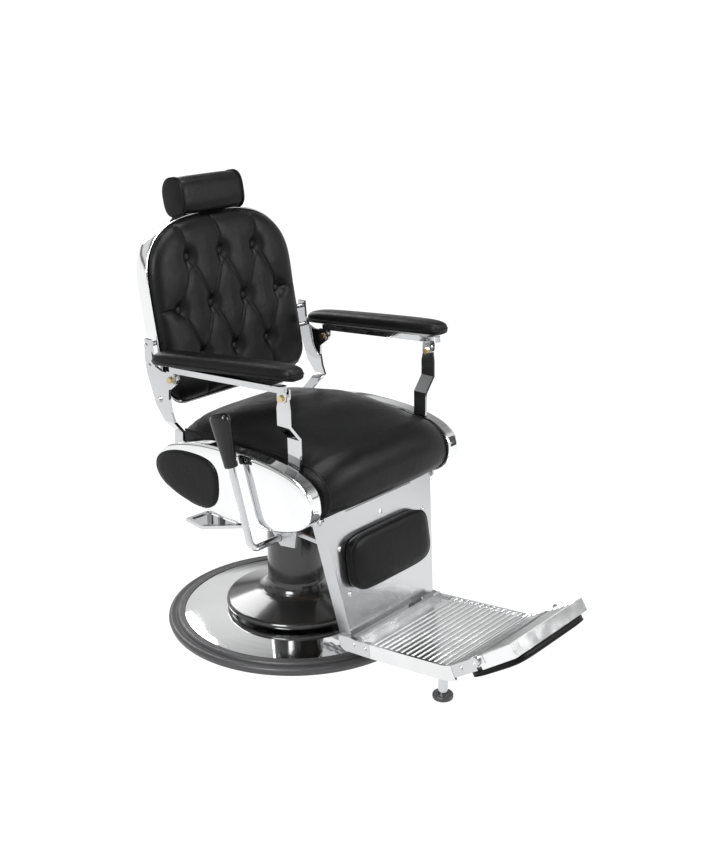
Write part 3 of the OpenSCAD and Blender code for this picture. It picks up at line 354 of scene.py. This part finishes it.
# ---------- side shells ----------
SHELL_Y, SHELL_Z = -45, 446  # middle of the outline
SHELL_LONG, SHELL_TALL = 256, 86  # half its length and half its height
SHELL_INNER_X, SHELL_EDGE_X, SHELL_FACE_X = 234, 269, 279
SHELL_WALL = 3


def shell_power(front):
    """Squareness of the outline, fuller in front than at the rear."""
    return np.where(front, 2.6, 2.15)


def shell_x(rho):
    """The face's x: from its middle it falls to its edge by the seventh power of rho."""
    return SHELL_EDGE_X + (SHELL_FACE_X - SHELL_EDGE_X) * np.sqrt(1 - np.minimum(rho, 1) ** 7)


def shell_rho(y, z):
    """How far out [y, z] lies on the face, 1 at its outline: the superellipse's own sum."""
    n = shell_power(y < SHELL_Y)
    return ((np.abs(y - SHELL_Y) / SHELL_LONG) ** n
            + (np.abs(z - SHELL_Z) / SHELL_TALL) ** n) ** (1 / n)


def shell_ring(x, rho, inset=0.0):
    """Superellipse at x, scaled by rho and drawn in by inset, whose ends are lifted in front and
    lowered at the rear by the square of the cosine."""
    c, s = np.cos(angles(160)), np.sin(angles(160))
    n = shell_power(c > 0)
    y = SHELL_Y - (SHELL_LONG - inset) * rho * spow(c, 2 / n)
    z = SHELL_Z + (SHELL_TALL - inset) * rho * spow(s, 2 / n)
    return sheet(x, y, z + np.where(c > 0, 2, -9) * c * c * rho)


def side_shell(word, flip):
    """Deep cap with a rounded face, a straight band and a turned-in wall, open to the seat."""
    rhos = np.sin(np.radians(np.linspace(2, 90, 34)))
    rings = [shell_ring(shell_x(rho), rho) for rho in rhos]
    rings += [shell_ring(SHELL_INNER_X + run, 1.0) for run in (28, 18, 8, 1.2)]
    rings += [shell_ring(SHELL_INNER_X + 0.2, 1.0, inset) for inset in (0.7, 2.4)]
    rings += [shell_ring(shell_x(rho) - SHELL_WALL, rho, SHELL_WALL) for rho in rhos[::-2]]
    piece("cap_" + word, skin(flip(rings)), "chair", "chrome", ["shell_" + word], look="mirror")


INSET_Y, INSET_Z, INSET_TALL = 66, 434, 64
INSET_FRONT, INSET_REAR = 84, 132


def shell_inset(word, flip):
    """Padded panel over the rear of a shell: a superellipse that rises at both ends by the square
    of the cosine and follows the shell's face, with the edge of a quarter ellipse."""
    a = angles(96)[:, None]
    c, s = np.cos(a), np.sin(a)
    k = np.sin(np.linspace(0, np.pi / 2, 26))[None, :]
    n = np.where(c > 0, 2.9, 2.0)
    y = INSET_Y - np.where(c > 0, INSET_FRONT, INSET_REAR) * k * spow(c, 2 / n)
    z = INSET_Z + INSET_TALL * k * spow(s, 2 / n) + np.where(c > 0, 4, 6) * c * c * k
    face = shell_x(shell_rho(y, z))
    swell = 0.4 + 4.6 * np.sqrt(1 - np.clip((k - 0.86) / 0.14, 0, 1) ** 2)
    top = np.swapaxes(sheet(face + swell, y, z), 0, 1)
    rings = np.concatenate([top, [top[-1] - (0.3, 0, 0)]])
    piece("inset_" + word, skin(flip(rings)), "chair", "leather", ["shell_inset_" + word])
    seam = sheet(face[:, -1] + 1.6, y[:, -1], z[:, -1])
    piece("inset_seam_" + word, tube(flip(seam), 1.6, True, 8), "chair", "leather")


for word, flip in SIDES:
    side_shell(word, flip)
    shell_inset(word, flip)


# ---------- seat cushion ----------
SEAT_REAR, SEAT_LONG, SEAT_HALF = 174, 492, 219.5
SEAT_UNDER, SEAT_TOP, SEAT_CROWN, SEAT_DOME = 463, 522, 28, 25
SEAT_REAR_R, ROLL_R, ROLL_LOW_R = 24, 72, 42
ROLL_REAR, ROLL_LOW = -246, 405


def seat_slice(u):
    """Outline [y, z] of the cushion at the share u of its half width. Its ends and its top draw in
    by the fourth power of u, and the dome along it is a half sine that falls by the seventh."""
    e = abs(u) ** 4
    rear, front = SEAT_REAR - 8 * e, SEAT_REAR - SEAT_LONG + 10 * e
    top, low = SEAT_TOP + SEAT_CROWN * (1 - e), ROLL_LOW + 4 * e
    dome = 4 + SEAT_DOME * (1 - abs(u) ** 7)
    flat = rear - front - ROLL_R - 38
    line = [(rear - 3, SEAT_UNDER), (rear + 1, SEAT_UNDER + 7), (rear + 1.5, SEAT_UNDER + 33)]
    line += arc(rear - SEAT_REAR_R, top - SEAT_REAR_R, SEAT_REAR_R, 8, 82, 4)
    line += [(front + ROLL_R + flat * k / 5, top + dome * math.sin(math.pi * k / 5))
             for k in (4, 3, 2, 1)]
    line += arc(front + ROLL_R, top - ROLL_R, ROLL_R, 98, 180, 7)
    line += arc(front + 2 + ROLL_LOW_R, low + ROLL_LOW_R, ROLL_LOW_R, 188, 262, 4)
    line += [(ROLL_REAR - 12, low + 1), (ROLL_REAR - 6, low + 8), (ROLL_REAR - 4, low + 22),
             (ROLL_REAR - 3, SEAT_UNDER - 11), (ROLL_REAR, SEAT_UNDER)]
    return np.array(line)


def seat_pad():
    """Slices side by side, with soft waves over the top and upper sides that lean in a little."""
    rings = []
    for u in np.sin(np.radians(np.linspace(-90, 90, 73))):
        y, z = smooth_line(seat_slice(u), 150).T
        wave = 0.5 * np.sin(y * 0.045 + 3 * u) * np.clip((z - 470) / 60, 0, 1) * (1 - u ** 4)
        pull = 1 - 0.010 * np.clip((z - 500) / 40, 0, 1)
        rings.append(sheet(SEAT_HALF * u * pull, y, z + wave))
    piece("seat_pad", skin(rings), "chair", "leather", ["seat_cushion"])


def seat_edge(word, flip):
    """Piping along a side of the top and down the roll, with a row of stitches beside it."""
    edge = smooth_line(seat_slice(0.985), 200)
    y, z = edge.T
    edge = edge[((z > SEAT_TOP) | (y < -262)) & (y < 162) & (z > 410)]
    out = edge - edge.mean(0)
    y, z = (edge + 0.6 * out / np.linalg.norm(out, axis=1)[:, None]).T
    piece("seat_piping_" + word, tube(flip(sheet(217, y, z)), 3.0), "chair", "leather")
    row = flip(sheet(209.5, y, z + 0.4))
    stitches = [tube(row[i:i + 3], 0.5, sides=6) for i in range(0, len(row) - 3, 5)]
    piece("seat_stitch_" + word, together(stitches), "chair", "leather")


seat_pad()
for word, flip in SIDES:
    seat_edge(word, flip)


# ---------- back ----------
BACK_TILT, BACK_AT = -10.5, (0, 258, 790)
BACK_HALF, BACK_LOW, BACK_SHOULDER, BACK_TOP = 234.2, -219.5, 45, 216.6
BACK_CORNER, BACK_POWER, BACK_BEND = 60, 2.8, 2800
BUTTONS_APART, ROWS_APART = 112, 120
BUTTONS = [((k - (count - 1) / 2) * BUTTONS_APART, row * ROWS_APART)
           for row, count in ((-1, 3), (0, 4), (1, 3)) for k in range(count)]
BUTTON_PROFILE = [(4, -1), (10.6, 0.5), (11.4, 2.6), (11, 4.6), (9.4, 6.4), (6.6, 7.6), (3, 8.2),
                  (0.5, 8.3)]
RIM_PROFILE = [(1.9, -30.6), (2.6, -31.8), (3.8, -32), (4.9, -31.4), (5.6, -30), (5.8, -20),
               (5.8, 4.6), (5.2, 5.8), (2.4, 6), (1.9, 5.2)]


def lean(pts):
    """From the back's own frame, with its front at -y and z up along it, to its place."""
    return rot_x(pts, BACK_TILT) + BACK_AT


def back_w(s, grow=0.0):
    """Half width at the height s, widened by grow: a round corner at the foot, straight sides and
    a superellipse above the shoulder."""
    up = np.maximum(0, s - BACK_SHOULDER) / (BACK_TOP + grow - BACK_SHOULDER)
    down = np.maximum(0, BACK_LOW - grow + BACK_CORNER - s)
    w = (BACK_HALF + grow) * np.maximum(0, 1 - up ** BACK_POWER) ** (1 / BACK_POWER)
    return w - BACK_CORNER + np.sqrt(np.maximum(0, BACK_CORNER ** 2 - down * down))


def back_rows(corner, side, arch, grow=0.0, short=0.3):
    """Heights from foot to top, close where the outline turns: by a cosine in the corner, even
    along the side and by a sine in the arch, which ends short of its very top."""
    foot, top = BACK_LOW - grow, BACK_TOP + grow - short
    bend, rise = np.linspace(0, np.pi / 2, corner)[:-1], np.linspace(0, np.pi / 2, arch)
    return np.concatenate([foot + BACK_CORNER * (1 - np.cos(bend)),
                           np.linspace(foot + BACK_CORNER, BACK_SHOULDER, side)[:-1],
                           BACK_SHOULDER + (top - BACK_SHOULDER) * np.sin(rise)])


def back_rim():
    """Chromed frame around the back: its profile of (growth, depth) carried round the outline."""
    rings = []
    for grow, depth in RIM_PROFILE + RIM_PROFILE[:1]:
        rows = back_rows(150, 150, 150, grow, 0)
        half = sheet(back_w(rows, grow), depth, rows)
        rings.append(lean(np.vstack([half, mirror(half)[-2::-1]])))
    piece("rim", skin(rings, False), "back", "chrome", ["back_rim"], look="mirror")


def pleats():
    """Ends of the pleats: diamonds between rows, up to the arch, down and out to the sides."""
    lines = []
    for x, s in BUTTONS:
        lines += [((x, s), (x2, s2)) for x2, s2 in BUTTONS
                  if s2 - s == ROWS_APART and abs(x2 - x) < BUTTONS_APART]
        if s == ROWS_APART:
            turn = (x * 1.08 - 4, 165)
            lines += [((x, s), turn), (turn, (x * 1.12 - 14, 214))]
        if s == -ROWS_APART:
            lines.append(((x, s), (x * 1.03, -219)))
        if s == 0 and abs(x) > BUTTONS_APART:
            lines.append(((x, s), (math.copysign(235, x), 3)))
    return lines


def pleat_distance(x, s):
    """Distance to the nearest pleat, each of which is a straight segment."""
    best = np.full(x.shape, np.inf)
    for (x0, s0), (x1, s1) in pleats():
        dx, ds = x1 - x0, s1 - s0
        t = np.clip(((x - x0) * dx + (s - s0) * ds) / (dx * dx + ds * ds), 0, 1)
        best = np.minimum(best, np.hypot(x - x0 - t * dx, s - s0 - t * ds))
    return best


def back_depth(x, s):
    """How far the tufted front stands before the rear plane: a crown that ends steeply at the edge
    and a bend by the square of x, less pleats and dimples of two bell curves each."""
    u = np.abs(x) / np.maximum(24, back_w(s))
    v = np.abs(2 * (s + 220) / 437 - 1)
    crown = 17.5 + 36 * np.sqrt(np.maximum(0, (1 - u ** 5) * (1 - v ** 8)))
    d2 = pleat_distance(x, s) ** 2
    r2 = np.min([(x - bx) ** 2 + (s - bs) ** 2 for bx, bs in BUTTONS], 0)
    pleat = 4.2 * np.exp(-d2 / 2.8 ** 2) + 2.4 * np.exp(-d2 / 13 ** 2)
    dimple = 14.5 * np.exp(-r2 / 330) + 4 * np.exp(-r2 / 2600)
    return crown + x * x / BACK_BEND - pleat * np.clip((1 - np.maximum(u, v)) * 9, 0, 1) - dimple


def back_tufted():
    """Grid over the outline at the tufted depth, with a wall round it to the rear plane."""
    rows = back_rows(31, 96, 72)[:, None]
    across = np.sin(np.radians(np.linspace(-90, 90, 190)))
    x, s = np.broadcast_arrays(across * np.maximum(24, back_w(rows)), rows)
    grid = np.arange(s.size).reshape(s.shape)
    edge = np.concatenate([grid[0], grid[1:, -1], grid[-1, -2::-1], grid[-2:0:-1, 0]])
    front = sheet(x, -back_depth(x, s), s).reshape(-1, 3)
    rear = front[edge]
    rear[:, 1] = -0.4
    low = s.size + np.arange(len(edge))
    wall = np.stack([edge, np.roll(edge, -1), np.roll(low, -1), low], 1).tolist()
    piece("back_tufted", (lean(np.vstack([front, rear])), grid_faces(*s.shape) + wall), "back",
          "leather", ["back_cushion"])


def back_buttons():
    """Turned buttons, each sunk in its dimple."""
    made = []
    for x, s in BUTTONS:
        y = -back_depth(np.array([x]), np.array([s]))[0]
        verts, faces = lathe(BUTTON_PROFILE, (x, y, s), (0, -1, 0), 32)
        made.append((lean(verts), faces))
    piece("buttons", together(made), "back", "leather", ["back_buttons"])


def back_piping():
    """Cord round the cushion's edge, bent as the back is."""
    rows = back_rows(31, 24, 72)
    w = back_w(rows)
    half = sheet(w - 2.5, -19.5 - w * w / BACK_BEND, rows)
    line = np.vstack([half, mirror(half)[::-1]])
    piece("back_piping", tube(lean(line), 2.6, True, 10), "back", "leather")


back_rim()
back_tufted()
back_buttons()
back_piping()


# ---------- headrest ----------
BOLSTER_HALF, BOLSTER_TALL, BOLSTER_DEEP = 102, 45.5, 76
BOLSTER_REAR, BOLSTER_LOW = 25.7, 218
BOLSTER_END = [(0, 7), (0.6, 4), (2.2, 1.6), (5, 0.4), (7.5, 1.5), (10, 0.2), (24, -0.6)]


def bolster_ring(x, inset):
    """Squared ellipse at x, drawn in by inset and lowered at its upper rear corner."""
    c, s = np.cos(angles(96)), np.sin(angles(96))
    y = BOLSTER_REAR - 0.6 * inset - (BOLSTER_DEEP - inset) * (0.5 + 0.5 * spow(c, 0.72))
    drop = np.where((c < 0) & (s > 0), 12 * c * c, 0)
    z = BOLSTER_LOW + BOLSTER_TALL + (BOLSTER_TALL - inset - drop) * spow(s, 0.62)
    return sheet(x, y, z)


def bolster():
    """Slices from end to end: rounded ends with a groove inside the piping, and a fuller middle."""
    end = [(run - BOLSTER_HALF, inset) for run, inset in BOLSTER_END]
    middle = [(x, -1.2 - 0.5 * math.cos(x / 60))
              for x in np.linspace(40 - BOLSTER_HALF, BOLSTER_HALF - 40, 12)]
    stations = end + middle + [(-x, inset) for x, inset in reversed(end)]
    piece("bolster", skin([lean(bolster_ring(x, inset)) for x, inset in stations]), "headrest",
          "leather", ["headrest_cushion"])
    for word, flip in SIDES:
        cord = lean(flip(bolster_ring(BOLSTER_HALF - 4.5, -0.9)))
        piece("bolster_piping_" + word, tube(cord, 2.3, True, 10), "headrest", "leather")


bolster()


# ---------- arm pads ----------
PAD_TOE, PAD_TILT, PAD_AT = -1.5, -5.2, (268, 135, 663)
PAD_HALF, PAD_TALL, PAD_LOW = 32, 34, 34.5
PAD_REAR, PAD_LONG, SEAM_Z = 42, 438, 46


def arm_frame(pts):
    """From the pad's own frame, with its origin over the rear pivot, to the left arm's place."""
    return rot_x(rot_z(pts, PAD_TOE), PAD_TILT) + PAD_AT


def pad_rings(t):
    """Flat-bottomed rounds at the shares t of the length. Width and height draw in at both ends by
    a superellipse, the rear half is a little narrower, and the top is crowned by a parabola."""
    e = 2 * t[:, None] - 1
    k = np.maximum(0, 1 - np.abs(e) ** 7) ** (1 / 2.6)
    w = PAD_HALF * (0.55 + 0.45 * k) * (0.94 + 0.06 * np.minimum(1, 1 + e))
    h = PAD_TALL * (0.62 + 0.38 * k)
    c, s = np.cos(angles(72)), np.sin(angles(72))
    share = 0.42 + np.where(s < 0, 0.42 * spow(s, 0.5), 0.58 * spow(s, 0.82))
    crown = 1.5 * (1 - e * e) * np.clip(s, 0, 1)
    return sheet(w * spow(c, 0.62), PAD_REAR - PAD_LONG * t[:, None], PAD_LOW + h * share + crown)


def arm_pad(word, flip):
    """The pad, and the seam round its widest line."""
    t = 0.5 - 0.496 * np.cos(np.linspace(0, np.pi, 64))
    rings = pad_rings(t)
    piece("pad_" + word, skin(flip(arm_frame(rings))), "arm_" + word, "leather",
          ["arm_pad_" + word])
    half = sheet(rings[..., 0].max(1) + 0.3, PAD_REAR - PAD_LONG * t, SEAM_Z)
    seam = flip(arm_frame(np.vstack([half, mirror(half)[::-1]])))
    piece("pad_seam_" + word, tube(seam, 1.9, True, 8), "arm_" + word, "leather")


for word, flip in SIDES:
    arm_pad(word, flip)


# ---------- legrest ----------
LEG_TILT, LEG_AT = -9.6, (0, -262, 392)
CALF_HALF, CALF_TALL, CALF_Z = 142, 65, -128
CALF_PROFILE = [(4, -8.4), (1, -9.4), (0, -11.5), (-0.5, -17), (0, -24), (1.2, -29), (4.5, -32.4),
                (10, -34.8), (20, -36.6), (36, -37.8), (54, -38.4)]
SCREW_PROFILE = [(6.4, 0), (6.2, 1.2), (5, 2.6), (3, 3.2), (0.4, 3.3)]
SCREWS = [(155, -80), (142, -194)]


def leg_frame(pts):
    """From the legrest panel's own frame, hung from its hinge, to its place."""
    return rot_x(pts, LEG_TILT) + LEG_AT


def calf_ring(inset, y):
    """Squared ellipse at y, drawn in by inset."""
    a = angles(120)
    return leg_frame(sheet((CALF_HALF - inset) * spow(np.cos(a), 0.34), y,
                           (CALF_TALL - inset) * spow(np.sin(a), 0.46) + CALF_Z))


def calf_cushion():
    """Profile of (inset, y) from the panel to the middle of the front, with piping at its edge."""
    piece("calf_cushion", skin([calf_ring(*step) for step in CALF_PROFILE]), "legrest", "leather",
          ["calf_pad"])
    piece("calf_piping", tube(calf_ring(0.6, -28.4), 2.2, True, 10), "legrest", "leather")


def panel_screws():
    """Domed screw heads at both sides of the panel."""
    heads = []
    for side in (-1, 1):
        for x, z in SCREWS:
            verts, faces = lathe(SCREW_PROFILE, (side * x, -8, z), (0, -1, 0), 28)
            heads.append((leg_frame(verts), faces))
    piece("panel_screw_heads", together(heads), "legrest", "chrome", ["legrest_screws"])


calf_cushion()
panel_screws()


# ---------- toe cushion ----------
FOOT_Y, FOOT_Z, FOOT_LEVEL = -335, 96, 265  # where the footrest's path starts, and its run in y
FOOT_SLOPE, TOE_SLOPE, BEND_R = math.radians(6.2), math.radians(34), 90
FLAT = FOOT_LEVEL / math.cos(FOOT_SLOPE)
TANGENT = BEND_R * math.tan((TOE_SLOPE - FOOT_SLOPE) / 2)
BEND_S = FLAT - TANGENT
TOE_S = BEND_S + BEND_R * (TOE_SLOPE - FOOT_SLOPE)
KNUCKLE_S = TOE_S + 58
TOE_HALF, TOE_UP, TOE_DOWN = 141, 64, 101
TOE_PROFILE = [(-26.4, 5), (-27.2, 2), (-29, 0.4), (-33, 0), (-37.5, 0.8), (-40.5, 3), (-42.6, 7),
               (-43.8, 13), (-44.3, 22)]


def toe_path(s, h):
    """Points [y, z] at the run s and the height h of the footrest's path: its bend, which is an
    arc, and the straight toe part beyond it."""
    foot = np.array((-math.cos(FOOT_SLOPE), math.sin(FOOT_SLOPE)))
    toe = np.array((-math.cos(TOE_SLOPE), math.sin(TOE_SLOPE)))
    start, s = np.array((FOOT_Y, FOOT_Z)), s[:, None]
    centre = start + BEND_S * foot + BEND_R * foot[::-1] * (1, -1)
    a = FOOT_SLOPE + (s - BEND_S) / BEND_R
    bend = centre - (BEND_R - h) * np.hstack([np.sin(a), np.cos(a)])
    beyond = start + FLAT * foot + (s - TOE_S + TANGENT) * toe + h * toe[::-1] * (1, -1)
    return np.where(s < TOE_S, bend, beyond)


def toe_ring(h, inset):
    """Squared ellipse at the height h of the path, drawn in by inset."""
    a = angles(110)
    rear, front = KNUCKLE_S - TOE_UP + inset, KNUCKLE_S + TOE_DOWN - inset
    s = (rear + front) / 2 + spow(np.sin(a), 0.45) * (front - rear) / 2
    y, z = toe_path(s, h).T
    return sheet((TOE_HALF - inset) * spow(np.cos(a), 0.3), y, z)


def toe_cushion():
    """Profile of (height, inset) from the plate to the cushion's face, with piping at its edge."""
    piece("toe_cushion", skin([toe_ring(*step) for step in TOE_PROFILE]), "toe", "leather",
          ["toe_pad"])
    piece("toe_piping", tube(toe_ring(-38.5, 0.9), 1.8, True, 8), "toe", "leather")


toe_cushion()


# ---------- lever grip ----------
LEVER_TILT, LEVER_AT, LEVER_X = -16.8, (0, -146, 322), 302
GRIP_PROFILE = [(194, 10.5, 12), (195, 12.6, 14.4), (197.5, 13.8, 15.8), (204, 14, 16.2),
                (234, 15, 18.5), (262, 15.7, 22.5), (290, 16, 26.4), (303, 16, 27.8),
                (310, 15.2, 27), (315.5, 13, 23.5), (318.6, 9.5, 17.5), (319.8, 5, 9)]


def lever_grip():
    """Flared grip: rounded oblongs from a profile of (height, half width, half depth)."""
    c, s = spow(np.cos(angles(64)), 0.8), spow(np.sin(angles(64)), 0.8)
    rings = [mirror(sheet(LEVER_X + wide * c, deep * s, z))
             for z, wide, deep in smooth_line(GRIP_PROFILE, 60)]
    piece("grip", skin(rot_x(rings, LEVER_TILT) + LEVER_AT), "lever", "black_grip", ["lever_grip"])


lever_grip()


# ---------- stage, in metres ----------
FLOOR_HALF, WALL_TALL = 450, 75
FLAG_LOW = 0.05
FLAGS = [("flag_right", 1.75, -1.35, 35, 0.34, 1.3), ("flag_front", 0.35, -2.7, 8, 0.3, 1.2)]
LAMPS = [("key", (-2.6, -0.6, 2.6), (0, 0, 0.6), 1.2, 1.8, 130),
         ("top", (0.2, -0.3, 3.2), (0, -0.1, 0.5), 1.8, 1.8, 75),
         ("front", (1.6, -3.0, 1.9), (0, 0, 0.5), 0.9, 1.6, 60),
         ("rear", (0.8, 2.6, 2.2), (0, 0, 0.8), 1.4, 1.4, 45)]


def plain_material(name, value, roughness, glow=0.0):
    """An even grey that may glow white."""
    mat = bpy.data.materials.new(name)
    mat.use_nodes = True
    shader = mat.node_tree.nodes["Principled BSDF"]
    shader.inputs["Base Color"].default_value = (*grey(value), 1)
    shader.inputs["Roughness"].default_value = roughness
    shader.inputs["Emission Color"].default_value = (1, 1, 1, 1)
    shader.inputs["Emission Strength"].default_value = glow
    return mat


def stage_mesh(name, verts, faces, mat):
    """A mesh that belongs to the stage and not to the chair."""
    mesh = bpy.data.meshes.new(name)
    mesh.from_pydata(verts, [], faces)
    mesh.materials.append(mat)
    ob = add_object(name, mesh)
    return ob


def backdrop():
    """White floor with walls so far off that they only close the view."""
    corners = [(-FLOOR_HALF, -FLOOR_HALF), (FLOOR_HALF, -FLOOR_HALF), (FLOOR_HALF, FLOOR_HALF),
               (-FLOOR_HALF, FLOOR_HALF)]
    verts = [(x, y, z) for z in (-0.0008, WALL_TALL) for x, y in corners]
    walls = [(i, (i + 1) % 4, (i + 1) % 4 + 4, i + 4) for i in range(4)]
    stage_mesh("floor", verts, [(0, 1, 2, 3), *walls], plain_material("floor", 0.06, 0.9, 1.0))


def flags():
    """Dark cards beside and before the chair, seen only in its bright parts."""
    dark = plain_material("flag", 0.02, 0.5)
    for name, x, y, turn, wide, tall in FLAGS:
        dx, dy = (f(math.radians(turn)) * wide / 2 for f in (math.cos, math.sin))
        verts = [(x - dx, y - dy, FLAG_LOW), (x + dx, y + dy, FLAG_LOW), (x + dx, y + dy, tall),
                 (x - dx, y - dy, tall)]
        stage_mesh(name, verts, [(0, 1, 2, 3)], dark).visible_camera = False


def lamps():
    """Oblong lamps of (name, place, aim, width, height, watts)."""
    for name, place, aim, wide, tall, watts in LAMPS:
        light = bpy.data.lights.new(name, "AREA")
        light.shape = "RECTANGLE"
        light.size, light.size_y, light.energy = wide, tall, watts
        ob = add_object(name, light)
        ob.location = place
        ob.rotation_euler = (Vector(aim) - Vector(place)).to_track_quat("-Z", "Y").to_euler()


def ramp(tree, source, stops):
    """A grey ramp over source, with stops of (position, grey)."""
    made = tree.nodes.new("ShaderNodeValToRGB")
    for i, (position, value) in enumerate(stops):
        stop = made.color_ramp.elements[i] if i < 2 else made.color_ramp.elements.new(position)
        stop.position = position
        stop.color = (*grey(value), 1)
    tree.links.new(source, made.inputs[0])
    return made.outputs[0]


def studio():
    """World of light and dark bands by height, broken up by soft clouds."""
    world = bpy.data.worlds.new("studio")
    bpy.context.scene.world = world
    world.use_nodes = True
    tree = world.node_tree
    coord = tree.nodes.new("ShaderNodeTexCoord").outputs["Generated"]
    split = tree.nodes.new("ShaderNodeSeparateXYZ")
    height = node(tree, "ShaderNodeMapRange", From_Min=-0.2, From_Max=1.0)
    clouds = node(tree, "ShaderNodeTexNoise", Scale=1.7)
    tree.links.new(coord, split.inputs[0])
    tree.links.new(split.outputs["Z"], height.inputs["Value"])
    tree.links.new(coord, clouds.inputs["Vector"])
    bands = ramp(tree, height.outputs[0], [
        (0.0, 0.95), (0.31, 0.95), (0.33, 0.2), (0.37, 0.25), (0.41, 0.8), (0.58, 0.85),
        (0.7, 0.7), (0.78, 0.2), (0.9, 0.2), (1.0, 0.6)])
    cards = ramp(tree, clouds.outputs["Fac"], [(0.38, 0.45), (0.55, 1.0)])
    mix = node(tree, "ShaderNodeMix", data_type="RGBA", blend_type="MULTIPLY", Factor=1.0)
    tree.links.new(bands, mix.inputs["A"])
    tree.links.new(cards, mix.inputs["B"])
    background = tree.nodes["Background"].inputs
    tree.links.new(mix.outputs["Result"], background["Color"])
    background["Strength"].default_value = 0.95


backdrop()
flags()
lamps()
studio()
bpy.context.scene.view_settings.view_transform = "Standard"
